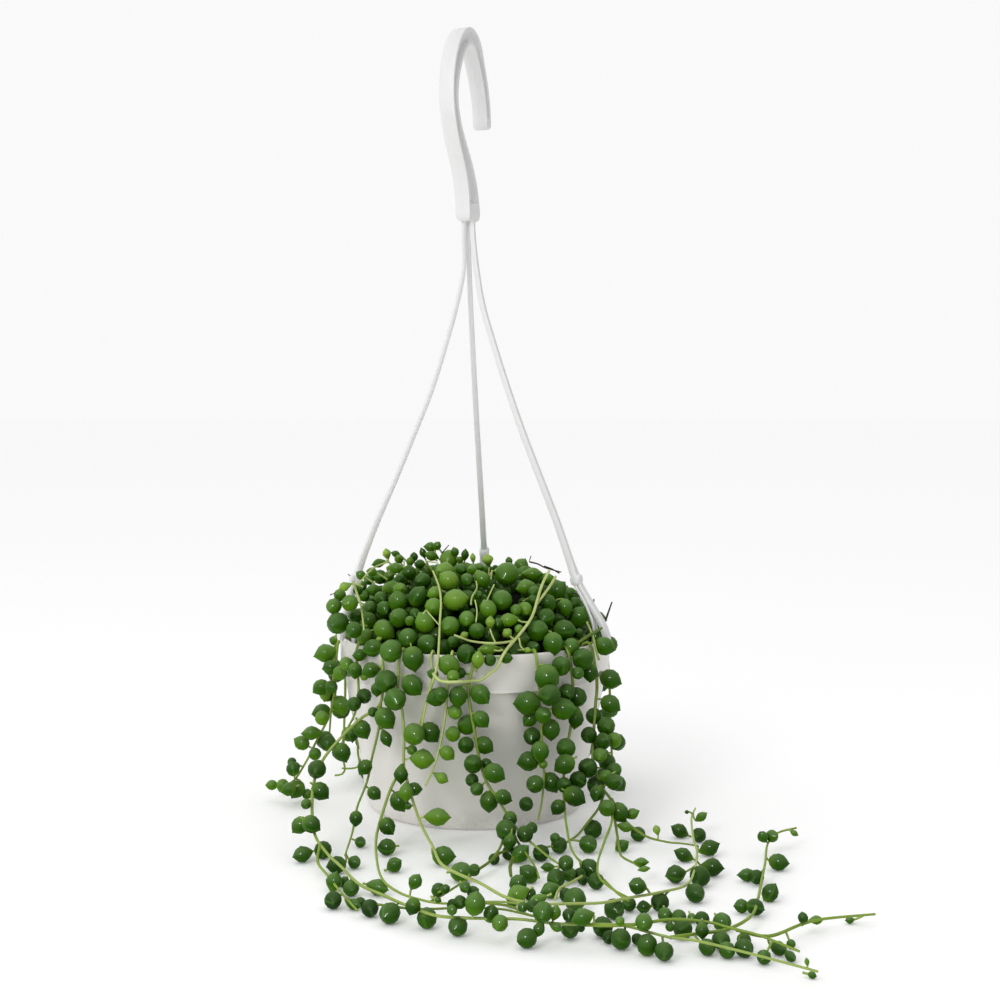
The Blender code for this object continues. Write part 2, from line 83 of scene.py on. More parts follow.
def seen(px, py, y):
    """The place that the photograph shows at a pixel, at the depth y."""
    size = pixel_size(y)
    return Vector(((px - AXIS_X) * size, y, EYE.z * 1000.0 - (py - HORIZON_Y) * size))


def pixel(place):
    """The pixel at which the photograph shows a place."""
    size = pixel_size(place.y)
    return AXIS_X + place.x / size, HORIZON_Y + (EYE.z * 1000.0 - place.z) / size


# The floor is white card, lit so brightly that only the soft shadows under and behind the plant are seen.
# It and the lamps belong to the studio, not to the object.
def set_inputs(tree, node, inputs):
    """Gives each input of a node its value, or joins it to the output given for it."""
    for name, value in inputs.items():
        if isinstance(value, bpy.types.NodeSocket):
            tree.links.new(value, node.inputs[name])
        else:
            node.inputs[name].default_value = value


def add(tree, kind, output, inputs=None, **settings):
    """Adds a node with its settings and inputs, and gives back one of its outputs."""
    made = tree.nodes.new(kind)
    for name, value in settings.items():
        setattr(made, name, value)
    set_inputs(tree, made, inputs or {})
    return made.outputs[output]


def between(tree, value, low, high, bottom=0.0, top=1.0):
    """How far a value is on its way from low to high, as a share from bottom to top."""
    return add(tree, "ShaderNodeMapRange", "Result", {
        "Value": value, "From Min": low, "From Max": high, "To Min": bottom, "To Max": top})


def new_material(name):
    made = bpy.data.materials.new(name)
    made.use_nodes = True
    return made, made.node_tree, made.node_tree.nodes["Principled BSDF"]


def link_piece(name, mesh, *materials):
    made = bpy.data.objects.new(name, mesh)
    bpy.context.scene.collection.objects.link(made)
    for material in materials:
        mesh.materials.append(material)
    return made


white_card, tree, shader = new_material("white_card")
set_inputs(tree, shader, {
    "Base Color": (0.93, 0.93, 0.93, 1.0), "Roughness": 0.9, "Specular IOR Level": 0.0,
    "Emission Color": (1.0, 1.0, 1.0, 1.0), "Emission Strength": 0.10})
floor_half = 8.0
floor_corners = [(x * floor_half, y * floor_half, 0.0) for x, y in ((-1, -1), (1, -1), (1, 1), (-1, 1))]
floor_mesh = bpy.data.meshes.new("floor")
floor_mesh.from_pydata(floor_corners, [], [(0, 1, 2, 3)])
floor = link_piece("floor", floor_mesh, white_card)

world = bpy.data.worlds.new("studio")
bpy.context.scene.world = world
world.use_nodes = True
tree = world.node_tree
backdrop = tree.nodes["Background"]
backdrop.inputs["Color"].default_value = (0.953, 0.950, 0.953, 1.0)
brightest_way = (-0.42, 0.36, 0.83)
towards = add(tree, "ShaderNodeVectorMath", "Value", {
    0: add(tree, "ShaderNodeTexCoord", "Generated"), 1: brightest_way}, operation="DOT_PRODUCT")
soft_light = add(tree, "ShaderNodeBackground", "Background", {
    "Strength": between(tree, towards, -0.6, 1.0, 0.15, 1.51)})
camera_ray = add(tree, "ShaderNodeLightPath", "Is Camera Ray")
pick = add(tree, "ShaderNodeMixShader", "Shader", {
    "Fac": camera_ray, 1: soft_light, 2: backdrop.outputs["Background"]})
set_inputs(tree, tree.nodes["World Output"], {"Surface": pick})


def lamp(name, place, target, size, power, only_shine=False):
    light = bpy.data.lights.new(name, "AREA")
    light.shape = "DISK"
    light.size = size
    light.energy = power
    made = bpy.data.objects.new(name, light)
    made.location = place
    made.rotation_euler = (Vector(target) - Vector(place)).to_track_quat("-Z", "Y").to_euler()
    made.visible_diffuse = not only_shine
    bpy.context.scene.collection.objects.link(made)


lamp("key_softbox", (-0.60, -1.0, 0.80), (0.0, 0.0, 0.05), 0.5, 4.0)
lamp("shine_lamp", (-0.12, -1.0, 0.60), (0.0, 0.0, 0.08), 0.22, 18.0, only_shine=True)


# The pot is one moulding of white plastic, with a rolled lip, a rim band with a bead under it, a tapered wall
# and a rounded foot. Each clip of the hanger has an oval slot through the band below it.
def skin_over(name, rings):
    """A closed mesh over rings of places, each joined to the next. A ring may be a single place."""
    shape = bmesh.new()
    rows = [[shape.verts.new(Vector(place) * MM) for place in ring] for ring in rings]
    for low, high in zip(rows, rows[1:]):
        for k in range(max(len(low), len(high))):
            after = k + 1
            shape.faces.new(list(dict.fromkeys((low[k % len(low)], low[after % len(low)],
                                                high[after % len(high)], high[k % len(high)]))))
    for end in (rows[0][::-1], rows[-1]):
        if len(end) > 1:
            shape.faces.new(end)
    bmesh.ops.recalc_face_normals(shape, faces=shape.faces)
    mesh = bpy.data.meshes.new(name)
    shape.to_mesh(mesh)
    shape.free()
    return mesh


def polar(azimuth, radius, height):
    angle = math.radians(azimuth)
    return Vector((radius * math.cos(angle), radius * math.sin(angle), height))


def turned(name, section, steps):
    """A profile (radius and height, from the axis out and back to it) turned about the axis."""
    return skin_over(name, [[polar(360.0 * k / steps, radius, height) for k in range(steps if radius else 1)]
                            for radius, height in section])


def smooth(mesh, angle):
    mesh.shade_smooth()
    mesh.set_sharp_from_angle(angle=math.radians(angle))


def finished(piece):
    """The piece with its modifiers applied, as a plain mesh at the origin."""
    depsgraph = bpy.context.evaluated_depsgraph_get()
    mesh = bpy.data.meshes.new_from_object(piece.evaluated_get(depsgraph))
    piece.modifiers.clear()
    piece.data = mesh
    return piece


def cut_oval(piece, half_length, half_height, stand):
    """Cuts an oval hole, 4 mm deep to each side of the plane that stands there."""
    outline = [polar(360.0 * k / 24, 1.0, 0.0) for k in range(24)]
    plug = link_piece("plug", skin_over("plug", [
        [stand @ Vector((half_length * spot.x, half_height * spot.y, side)) for spot in outline]
        for side in (-4.0, 4.0)]))
    modifier = piece.modifiers.new("cut", "BOOLEAN")
    modifier.operation = "DIFFERENCE"
    modifier.object = plug
    finished(piece)
    bpy.data.objects.remove(plug)


def mottle_group():
    """Soft blotches and fine grain: a value about 0.5 that changes over the surface."""
    tree = bpy.data.node_groups.new("mottle", "ShaderNodeTree")
    for name in ("Blotch scale", "Grain scale", "Grain share"):
        tree.interface.new_socket(name, in_out="INPUT", socket_type="NodeSocketFloat")
    tree.interface.new_socket("Value", in_out="OUTPUT", socket_type="NodeSocketFloat")
    given = tree.nodes.new("NodeGroupInput").outputs
    place = add(tree, "ShaderNodeTexCoord", "Object")
    blotch = add(tree, "ShaderNodeTexNoise", "Fac", {
        "Vector": place, "Scale": given["Blotch scale"], "Detail": 4.0})
    grain = add(tree, "ShaderNodeTexNoise", "Fac", {
        "Vector": place, "Scale": given["Grain scale"], "Detail": 2.0})
    both = add(tree, "ShaderNodeMix", "Result", {"Factor": given["Grain share"], "A": blotch, "B": grain})
    set_inputs(tree, tree.nodes.new("NodeGroupOutput"), {"Value": both})
    return tree


MOTTLE = mottle_group()


def mottle(tree, blotch, grain, share):
    return add(tree, "ShaderNodeGroup", "Value", {
        "Blotch scale": blotch, "Grain scale": grain, "Grain share": share}, node_tree=MOTTLE)


def ramp(tree, value, *stops):
    """Colours or greys along a value; each stop is a place and a colour or a grey."""
    made = add(tree, "ShaderNodeValToRGB", "Color", {"Fac": value})
    elements = made.node.color_ramp.elements
    while len(elements) < len(stops):
        elements.new(0.5)
    for element, (place, colour) in zip(elements, stops):
        element.position = place
        element.color = (colour, colour, colour, 1.0) if isinstance(colour, float) else (*colour, 1.0)
    return made


def uneven(tree, height, strength, distance):
    """The surface's normal where it is raised by a height."""
    return add(tree, "ShaderNodeBump", "Normal", {
        "Strength": strength, "Distance": distance, "Height": height})


def times(tree, a, b, clamped=False):
    return add(tree, "ShaderNodeMath", "Value", {0: a, 1: b}, operation="MULTIPLY", use_clamp=clamped)


def laid_over(tree, share, below, above):
    """A plain colour laid over another colour, by a share."""
    return add(tree, "ShaderNodeMix", "Result", {"Factor": share, "A": below, "B": (*above, 1.0)},
               data_type="RGBA")


def part_of(tree, vector, axis):
    return add(tree, "ShaderNodeSeparateXYZ", axis, {"Vector": vector})


def moulded_plastic(name, colour, low_grey, roughness, blotch_top):
    """White moulded plastic with faint blotches, fine grain and darker grey blotches low down."""
    made, tree, shader = new_material(name)
    blotch = mottle(tree, 26.0, 700.0, 0.25)
    clean = ramp(tree, blotch, (0.35, [c * 0.975 for c in colour]), (0.65, colour))
    # Below a given height the plastic gets darker grey blotches, more of them further down
    low = between(tree, part_of(tree, add(tree, "ShaderNodeTexCoord", "Object"), "Z"), blotch_top, 0.0)
    low_blotches = times(tree, low, ramp(tree, mottle(tree, 60.0, 1500.0, 0.4), (0.46, 0.0), (0.62, 1.0)))
    set_inputs(tree, shader, {
        "Base Color": laid_over(tree, low_blotches, clean, low_grey),
        "Roughness": ramp(tree, blotch, (0.3, roughness - 0.05), (0.7, roughness + 0.06)),
        "Normal": uneven(tree, blotch, 0.12, 0.0004)})
    return made


pot_plastic = moulded_plastic("pot_plastic", (0.83, 0.80, 0.765), (0.55, 0.54, 0.51), 0.42, 0.012)
STRAND_AZIMUTHS = {"left": 203.0, "right": 335.0, "back": 85.0}
pot_inside = [(0.0, 2.2), (50.6, 2.2), (52.4, 4.4), (55.7, 30.0), (60.2, 50.5), (62.0, 62.6), (63.6, 66.6),
              (64.3, 81.6), (64.45, 82.4), (64.8, 82.85), (65.3, 83.0)]
pot_lip = [(65.75, 82.9), (66.1, 82.5), (66.2, 81.9), (66.2, 80.5), (66.0, 71.0), (65.75, 67.2)]
pot_bead = [(65.8, 66.6), (65.95, 66.2), (65.95, 65.8), (65.7, 65.45), (65.2, 65.3), (64.6, 65.2),
            (64.2, 64.9), (64.0, 64.3)]
pot_wall = [(63.7, 62.4), (61.9, 50.5), (59.6, 40.0), (57.3, 30.0), (55.4, 16.0), (54.2, 7.0), (53.7, 3.4),
            (53.2, 1.9), (52.4, 0.9), (51.4, 0.25), (50.2, 0.0), (46.0, 0.0), (45.4, 0.5), (44.0, 0.6),
            (0.0, 0.6)]
slot_height, slot_half_length, slot_half_height = 67.6, 3.5, 1.6
drain_radius, drain_reach = 3.5, 32.0
upright = Matrix.Rotation(math.pi / 2, 4, "X")
pot_section = pot_inside + pot_lip + pot_bead + pot_wall
pot = link_piece("pot_shell", turned("pot_shell", pot_section, 160), pot_plastic)
for azimuth in STRAND_AZIMUTHS.values():
    stand = (Matrix.Translation(polar(azimuth, 65.0, slot_height))
             @ Matrix.Rotation(math.radians(azimuth + 90.0), 4, "Z") @ upright)
    cut_oval(pot, slot_half_length, slot_half_height, stand)
for azimuth in (45.0, 135.0, 225.0, 315.0):
    cut_oval(pot, drain_radius, drain_radius, Matrix.Translation(polar(azimuth, drain_reach, 1.0)))
smooth(pot.data, 30.0)
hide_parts("pot")
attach(pot, "root")


# The soil is dark peat with fine bark in it. It fills the pot to below the lip and only shows in gaps between
# the leaves. Its top is left rough by hand.
potting_soil, tree, shader = new_material("peat")
crumbs = mottle(tree, 220.0, 1400.0, 0.5)
set_inputs(tree, shader, {
    "Base Color": ramp(tree, crumbs, (0.35, (0.006, 0.004, 0.003)), (0.6, (0.03, 0.02, 0.013)),
                       (0.72, (0.09, 0.06, 0.04))),
    "Roughness": 0.95, "Normal": uneven(tree, crumbs, 0.8, 0.002)})
soil_section = [(float(radius), 76.0) for radius in (0, 6, 12, 18, 24, 30, 36, 42, 48, 53, 57, 60, 62, 63.2)]
soil_section += [(63.1, 67.2), (61.5, 62.8), (59.7, 50.5), (55.2, 30.0), (51.9, 4.8), (50.0, 2.6), (0.0, 2.6)]
soil = link_piece("soil_fill", turned("soil_fill", soil_section, 96), potting_soil)
for vertex in soil.data.vertices:
    if vertex.co.z > 75.0 * MM and math.hypot(vertex.co.x, vertex.co.y) < 63.0 * MM:
        vertex.co.z += 0.9 * MM * noise.noise(vertex.co * 160.0) + 0.5 * MM * noise.noise(vertex.co * 600.0)
smooth(soil.data, 60.0)
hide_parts("soil")
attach(soil, "root")


# The hanger's hook is a stiff white moulding with an I section: two flanges with a thin web between them. It
# is solid at its tip and at the foot block, which the three strands come out of.
hanger_plastic = moulded_plastic("hanger_plastic", (0.77, 0.765, 0.765), (0.7, 0.69, 0.66), 0.6, 0.0001)


def smooth_route(points, step):
    """Places about one step apart on a smooth curve through the given points."""
    places = [Vector(point) for point in points]
    places = [2 * places[0] - places[1]] + places + [2 * places[-1] - places[-2]]
    route = []
    for i in range(1, len(places) - 2):
        before, here, there, after = places[i - 1:i + 3]
        pieces = max(1, round((there - here).length / step))
        for k in range(pieces):
            t = k / pieces
            route.append(0.5 * (2 * here + (there - before) * t
                                + (2 * before - 5 * here + 4 * there - after) * t * t
                                + (3 * here - before - 3 * there + after) * t ** 3))
    route.append(places[-2])
    return route


def heading(route, k):
    """Which way a route runs at one of its places."""
    return route[min(k + 1, len(route) - 1)] - route[max(k - 1, 0)]


hook_turn, hook_half_width, hook_flange, hook_recess = 64.0, 3.85, 1.3, 2.7
parting_line, recess_start, recess_end = 0.13, 0.075, 0.95
# Along, up, and half of the height of the I section
hook_path = [(-8.0, 285.0, 4.4), (-8.0, 286.1, 5.4), (-8.0, 288.0, 5.8), (-8.4, 292.0, 5.6),
             (-10.0, 300.0, 5.0), (-13.5, 309.0, 4.3), (-19.5, 319.0, 3.6), (-25.0, 329.0, 2.9),
             (-28.2, 340.0, 2.6),
             (-27.8, 351.0, 3.0), (-24.3, 362.0, 3.6), (-18.5, 370.9, 3.9), (-11.5, 374.7, 4.0),
             (-4.5, 371.0, 3.8), (0.3, 362.0, 3.1), (4.3, 353.0, 2.7), (7.0, 343.0, 2.5), (8.1, 333.2, 2.3),
             (8.2, 332.0, 1.7)]
line = smooth_route(hook_path, 1.6)
last = len(line) - 1
rounded_ends = {0: 0.72, 1: 0.92, last: 0.75}
stand = Matrix.Rotation(math.radians(hook_turn), 4, "Z") @ upright
rings = []
for i, (along, up, half) in enumerate(line):
    run = heading(line, i)
    normal = Vector((-run.y, run.x)).normalized()
    wide = hook_half_width * rounded_ends.get(i, 1.0)
    web = wide - (hook_recess if recess_start < i / last < recess_end else 0.02)
    inner = half - min(hook_flange, half * 0.6)
    side = [(half, parting_line), (half, wide), (inner, wide), (inner, web)]
    ring = [(half, -wide), (half, -parting_line), (half + parting_line, 0.0)]
    ring += side + [(-n, w) for n, w in side[::-1]] + [(-half - parting_line, 0.0)]
    ring += [(-n, -w) for n, w in side] + [(inner, -web), (inner, -wide)]
    rings.append([stand @ Vector((along + normal.x * n, up + normal.y * n, w)) for n, w in ring])
hook = link_piece("hook_moulding", skin_over("hook_moulding", rings), hanger_plastic)
edge = hook.modifiers.new("round", "BEVEL")
edge.width = 0.4 * MM
edge.segments = 2
edge.limit_method = "ANGLE"
edge.angle_limit = math.radians(50.0)
finished(hook)
smooth(hook.data, 32.0)
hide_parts("hook")
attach(hook, "root")


# Each of the three strands is a stiff white bar that leaves the foot of the hook, widens on its way down and
# ends in a rounded knob. Two straps hang from the knob as a hairpin clip, one inside the pot's rim and one
# outside it.
foot = Vector((-3.4, -6.6, 0.0))
strand_heights = [289.6, 276.0, 262.0, 244.5, 225.0, 203.0, 182.0, 161.0, 140.0, 126.0, 115.0, 110.5]
strand_reaches = {
    "left": [2.2, 2.3, 2.6, 6.7, 12.9, 20.8, 30.2, 40.0, 50.3, 56.6, 61.0, 62.3],
    "right": [2.2, 2.8, 4.2, 6.9, 12.5, 19.6, 27.0, 35.3, 43.6, 48.5, 52.3, 54.4],
    "back": [2.2, 2.5, 3.3, 6.7, 12.7, 20.2, 28.6, 37.7, 47.0, 52.6, 56.9, 58.4]}
strand_half = {"left": (1.05, 1.2, 1.9), "right": (1.3, 1.7, 2.0), "back": (1.1, 1.3, 1.7)}
knob_height, back_knob_height = 111.8, 116.5
inner_reach, outer_reach = 62.8, 69.6
widening_start, flare_start = 0.6, 0.955
knob_shape = [(-2.45, 2.0), (-2.15, 2.5), (-1.2, 2.8), (1.2, 2.8), (2.15, 2.5), (2.45, 2.0)]


def bar(name, route, halves, width_direction, sides=12):
    """A bar with an oval section along a route; halves gives its two half thicknesses at each place."""
    rings = []
    for i, (place, (thick, wide)) in enumerate(zip(route, halves)):
        run = heading(route, i).normalized()
        across = (width_direction - run * width_direction.dot(run)).normalized()
        flat = run.cross(across)
        rings.append([])
        for k in range(sides):
            c, s = math.cos(math.tau * (k + 0.5) / sides), math.sin(math.tau * (k + 0.5) / sides)
            squarer = 1.0 / max(abs(c), abs(s)) ** 0.45
            rings[-1].append(place + flat * thick * c * squarer + across * wide * s * squarer)
    return skin_over(name, rings)


def eased(a, b, t):
    return a + (b - a) * t


def join_meshes(name, meshes):
    joined = bmesh.new()
    for mesh in meshes:
        joined.from_mesh(mesh)
        bpy.data.meshes.remove(mesh)
    made = bpy.data.meshes.new(name)
    joined.to_mesh(made)
    joined.free()
    return made


for side, azimuth in STRAND_AZIMUTHS.items():
    route = []
    for reach, height in zip(strand_reaches[side], strand_heights):
        left_behind = (strand_heights[1] - height) / (strand_heights[1] - strand_heights[-2])
        left_behind = min(1.0, max(0.0, left_behind))
        route.append(foot * (1.0 - left_behind) + polar(azimuth, reach, height))
    route = smooth_route(route, 4.0)
    top, middle, low = strand_half[side]
    halves = []
    for k in range(len(route)):
        share = k / (len(route) - 1)
        thick = eased(top, middle, share / widening_start)
        if share >= widening_start:
            thick = eased(middle, low, ((share - widening_start) / (1.0 - widening_start)) ** 2)
        flare = max(0.0, (share - flare_start) / (1.0 - flare_start))
        halves.append((thick, 1.15 + 0.5 * share + 1.1 * flare ** 0.5))
    tangent = polar(azimuth + 90.0, 1.0, 0.0)
    reach = strand_reaches[side][-2] + 1.3
    rise = back_knob_height - knob_height if side == "back" else 0.0
    knob = polar(azimuth, reach - 0.35 * rise, knob_height + rise)
    meshes = [bar("bar", route, halves, tangent),
              bar("knob", [knob + tangent * t for t, half in knob_shape],
                  [(half, half) for t, half in knob_shape], Vector((0, 0, 1)), 20)]
    outer = [(reach + 1.2, 110.6), (eased(reach + 1.2, outer_reach, 0.4), 101.0),
             (eased(reach + 1.2, outer_reach, 0.82), 91.0), (69.5, 83.6)]
    inner = [(reach - 0.6, 110.0), (eased(reach, inner_reach, 0.6), 100.0), (62.9, 90.0), (62.7, 78.6)]
    for strap, thin, thick in ((outer, 1.0, 1.75), (inner, 0.85, 0.8)):
        places = [polar(azimuth, *spot) for spot in smooth_route(strap, 2.0)]
        shares = [k / (len(places) - 1) for k in range(len(places))]
        halves = [(eased(thin, thick, share), 2.1 + 0.5 * share) for share in shares]
        halves[-1] = (halves[-1][0] * 0.7, halves[-1][1] * 0.85)
        meshes.append(bar("strap", places, halves, tangent))
    strand = link_piece("strand_%s_bar" % side, join_meshes("strand_bar", meshes), hanger_plastic)
    smooth(strand.data, 40.0)
    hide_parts("strand_" + side)
    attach(strand, "root")


# The plant's leaves are round green beads, 8 to 10 mm wide, each with a dark point at its far end and a thin
# clear line down one side; a pale sheen of light is painted on top. Young leaves are small, longer and paler.
# They sit on short stalks along thin green stems.
def leaf_shape(name, section, sides):
    """A leaf about its own centre, its stalk end down and its point up, with its own place on each vertex."""
    mesh = turned(name, section, sides)
    mesh.shade_smooth()
    local = mesh.attributes.new("leaf_place", "FLOAT_VECTOR", "POINT")
    for item, vertex in zip(local.data, mesh.vertices):
        item.vector = vertex.co / MM
    return bpy.data.objects.new(name, mesh)


point_length = 1.24
leaf_sections = {
    "leaf_a_round": (12, [(0.0, -1.0), (0.42, -0.90), (0.82, -0.56), (1.0, 0.02), (0.85, 0.54), (0.48, 0.88),
                          (0.12, 1.12), (0.0, point_length)]),
    "leaf_b_lemon": (12, [(0.0, -1.06), (0.32, -0.82), (0.74, -0.42), (0.98, 0.03), (0.80, 0.47),
                          (0.40, 0.79), (0.10, 1.0), (0.0, 1.12)]),
    "leaf_c_young": (12, [(0.0, -1.08), (0.20, -0.74), (0.60, -0.28), (0.93, 0.18), (0.82, 0.55),
                          (0.42, 0.85), (0.09, 1.04), (0.0, 1.14)]),
    "leaf_d_plain": (10, [(0.0, -1.0), (0.60, -0.78), (0.97, -0.22), (0.93, 0.36), (0.50, 0.86),
                          (0.08, 1.08), (0.0, 1.16)])}
leaf_shapes = bpy.data.collections.new("leaf_shapes")
for name, (sides, section) in leaf_sections.items():
    leaf_shapes.objects.link(leaf_shape(name, section, sides))


def value_of(tree, name, output):
    return add(tree, "ShaderNodeAttribute", output, attribute_name=name)


pearl_skin, tree, shader = new_material("pearl_skin")
tone = value_of(tree, "leaf_tone", "Fac")
own_place = value_of(tree, "leaf_place", "Vector")
along = part_of(tree, own_place, "Z")
skin = mottle(tree, 260.0, 2400.0, 0.25)
green = ramp(tree, tone, (0.0, (0.006, 0.032, 0.001)), (0.35, (0.027, 0.105, 0.002)),
             (0.65, (0.11, 0.25, 0.010)), (1.0, (0.37, 0.54, 0.08)))
# The flesh is yellower round the stalk
green = laid_over(tree, between(tree, along, -0.1, -1.05, top=0.6), green, (0.13, 0.27, 0.008))
# The clear line runs from the stalk to the point
aside = add(tree, "ShaderNodeMath", "Value", {0: part_of(tree, own_place, "Y")}, operation="ABSOLUTE")
one_side = add(tree, "ShaderNodeMath", "Value", {0: part_of(tree, own_place, "X"), 1: 0.0},
               operation="GREATER_THAN")
clear_line = times(tree, ramp(tree, aside, (0.0, 1.0), (0.10, 0.75), (0.2, 0.0)), one_side)
green = laid_over(tree, times(tree, clear_line, 0.35), green, (0.09, 0.25, 0.03))
# Painted light: what faces down is painted yellower, for light that comes through the flesh;
# on pale leaves the same colour darkens it, as painted shade
up = part_of(tree, add(tree, "ShaderNodeNewGeometry", "Normal"), "Z")
underside_light_shade = times(tree, between(tree, up, 0.35, -0.7, top=0.7), tone, clamped=True)
green = laid_over(tree, underside_light_shade, green, (0.09, 0.22, 0.003))
# Painted light: a pale sheen on what faces up, thinner on dark leaves
painted_sheen = times(tree, between(tree, up, -0.1, 1.0, top=0.72), ramp(tree, skin, (0.3, 0.55), (0.6, 1.0)))
painted_sheen = times(tree, painted_sheen, ramp(tree, tone, (0.0, 0.3), (0.45, 0.9)))
green = laid_over(tree, painted_sheen, green, (0.21, 0.34, 0.12))
# The point is dry and brown
green = laid_over(tree, between(tree, along, 1.14, 1.22), green, (0.045, 0.05, 0.02))
set_inputs(tree, shader, {
    "Base Color": green, "Roughness": ramp(tree, skin, (0.3, 0.30), (0.7, 0.42)), "Specular IOR Level": 0.02,
    "Coat Weight": 0.12, "Coat Roughness": 0.11, "Normal": uneven(tree, skin, 0.10, 0.0003)})

stem_skin, tree, shader = new_material("stem_skin")
streak = mottle(tree, 140.0, 1800.0, 0.3)
green = ramp(tree, value_of(tree, "leaf_tone", "Fac"), (0.0, (0.10, 0.15, 0.02)), (0.4, (0.25, 0.38, 0.05)),
             (1.0, (0.58, 0.69, 0.27)))
shade = ramp(tree, streak, (0.3, (0.72, 0.66, 0.5)), (0.65, (1.0, 1.0, 1.0)))
green = add(tree, "ShaderNodeMix", "Result", {"Factor": 0.7, "A": green, "B": shade}, data_type="RGBA",
            blend_type="MULTIPLY")
set_inputs(tree, shader, {
    "Base Color": green, "Roughness": 0.5, "Specular IOR Level": 0.15,
    "Normal": uneven(tree, streak, 0.3, 0.0004)})


def sprig_tree():
    """Leaves on points and stems on edges: turns a sketch of a stem into its finished mesh."""
    tree = bpy.data.node_groups.new("sprig", "GeometryNodeTree")
    for name, kind in (("Geometry", "Geometry"), ("Leaf shapes", "Collection"), ("Stem sides", "Int"),
                       ("Leaf size", "Float"), ("Leaf skin", "Material"), ("Stem skin", "Material")):
        tree.interface.new_socket(name, in_out="INPUT", socket_type="NodeSocket" + kind)
    tree.interface.new_socket("Geometry", in_out="OUTPUT", socket_type="NodeSocketGeometry")
    given = tree.nodes.new("NodeGroupInput").outputs

    def named(name, kind):
        return add(tree, "GeometryNodeInputNamedAttribute", "Attribute", {"Name": name}, data_type=kind)

    leaves = add(tree, "GeometryNodeSeparateGeometry", "Selection", {
        "Geometry": given["Geometry"], "Selection": named("is_leaf", "BOOLEAN")})
    shapes = add(tree, "GeometryNodeCollectionInfo", "Instances", {
        "Collection": given["Leaf shapes"], "Separate Children": True, "Reset Children": True})
    aim = add(tree, "FunctionNodeAlignRotationToVector", "Rotation", {
        "Vector": named("axis", "FLOAT_VECTOR")}, axis="Z")
    roll = add(tree, "FunctionNodeAxisAngleToRotation", "Rotation", {
        "Axis": (0.0, 0.0, 1.0), "Angle": named("roll", "FLOAT")})
    turn = add(tree, "FunctionNodeRotateRotation", "Rotation", {"Rotation": aim, "Rotate By": roll},
               rotation_space="LOCAL")
    size = add(tree, "ShaderNodeVectorMath", "Vector", {
        0: named("size", "FLOAT_VECTOR"), "Scale": given["Leaf size"]}, operation="SCALE")
    placed = add(tree, "GeometryNodeInstanceOnPoints", "Instances", {
        "Points": leaves, "Instance": shapes, "Pick Instance": True, "Instance Index": named("kind", "INT"),
        "Rotation": turn, "Scale": size})
    placed = add(tree, "GeometryNodeRealizeInstances", "Geometry", {"Geometry": placed})
    placed = add(tree, "GeometryNodeSetMaterial", "Geometry", {
        "Geometry": placed, "Material": given["Leaf skin"]})

    curve = add(tree, "GeometryNodeMeshToCurve", "Curve", {"Mesh": leaves.node.outputs["Inverted"]})
    ring = add(tree, "GeometryNodeCurvePrimitiveCircle", "Curve", {
        "Radius": 1.0, "Resolution": given["Stem sides"]})
    stems = add(tree, "GeometryNodeCurveToMesh", "Mesh", {
        "Curve": curve, "Profile Curve": ring, "Scale": named("thickness", "FLOAT"), "Fill Caps": True})
    stems = add(tree, "GeometryNodeSetMaterial", "Geometry", {
        "Geometry": stems, "Material": given["Stem skin"]})
    both = add(tree, "GeometryNodeJoinGeometry", "Geometry", {"Geometry": stems})
    set_inputs(tree, both.node, {"Geometry": placed})
    set_inputs(tree, tree.nodes.new("NodeGroupOutput"), {"Geometry": both})
    return tree


SPRIG = sprig_tree()
SPRIG_MARKS = (("is_leaf", "BOOLEAN"), ("axis", "FLOAT_VECTOR"), ("roll", "FLOAT"), ("size", "FLOAT_VECTOR"),
               ("leaf_tone", "FLOAT"), ("thickness", "FLOAT"), ("kind", "INT"))


class Sprig:
    """The sketch of one piece of the plant: chains of stem places, and leaves, each with its row of marks."""

    def __init__(self):
        self.places, self.edges, self.rows = [], [], []

    def stem(self, points, start, end, tone):
        """A stem through the points, whose radius goes from start to end."""
        first = len(self.places)
        for k, point in enumerate(points):
            radius = eased(start, end, k / max(1, len(points) - 1)) * MM
            self.places.append(Vector(point))
            self.rows.append((False, Vector((0, 0, 1)), 0.0, Vector((1, 1, 1)), tone, radius, 0))
        self.edges += [(first + k, first + k + 1) for k in range(len(points) - 1)]

    def leaf(self, bead):
        self.places.append(bead.centre.copy())
        size = Vector((bead.radius, bead.radius, bead.half_length))
        self.rows.append((True, bead.axis.normalized(), bead.roll, size, bead.tone, 0.0, bead.kind))

    def grow(self, name, skin=stem_skin):
        """The finished mesh of the sketch, made by the sprig tree."""
        mesh = bpy.data.meshes.new(name)
        mesh.from_pydata([place * MM for place in self.places], self.edges, [])
        for column, (mark, kind) in enumerate(SPRIG_MARKS):
            data = mesh.attributes.new(mark, kind, "POINT").data
            for item, row in zip(data, self.rows):
                setattr(item, "vector" if kind == "FLOAT_VECTOR" else "value", row[column])
        piece = link_piece(name, mesh)
        modifier = piece.modifiers.new("sprig", "NODES")
        modifier.node_group = SPRIG
        given = {"Leaf shapes": leaf_shapes, "Stem sides": 6, "Leaf size": 1.0, "Leaf skin": pearl_skin,
                 "Stem skin": skin}
        for socket in SPRIG.interface.items_tree:
            if socket.in_out == "INPUT" and socket.name in given:
                modifier[socket.identifier] = given[socket.name]
        finished(piece)
        if piece.data.materials[0] is None:
            piece.data.materials.pop(index=0)
        for mark, kind in SPRIG_MARKS:
            if mark != "leaf_tone" and mark in piece.data.attributes:
                piece.data.attributes.remove(piece.data.attributes[mark])
        return piece


# The leafy stems hang over the rim and trail over the floor. Those at the front follow the photograph: each
# has the azimuth where it crosses the rim, the places it passes, and those of its side stems. Their leaves
# are read off the photograph as pixel, pixel, radius, paleness, then the direction of the point in degrees
# (None, or not given, where it faces the camera) and the half length where it is longer than usual.
stem_radius = 0.8
soil_top, rim_top = 76.0, 83.0
beside_rim, below_rim = 68.4, 81.6


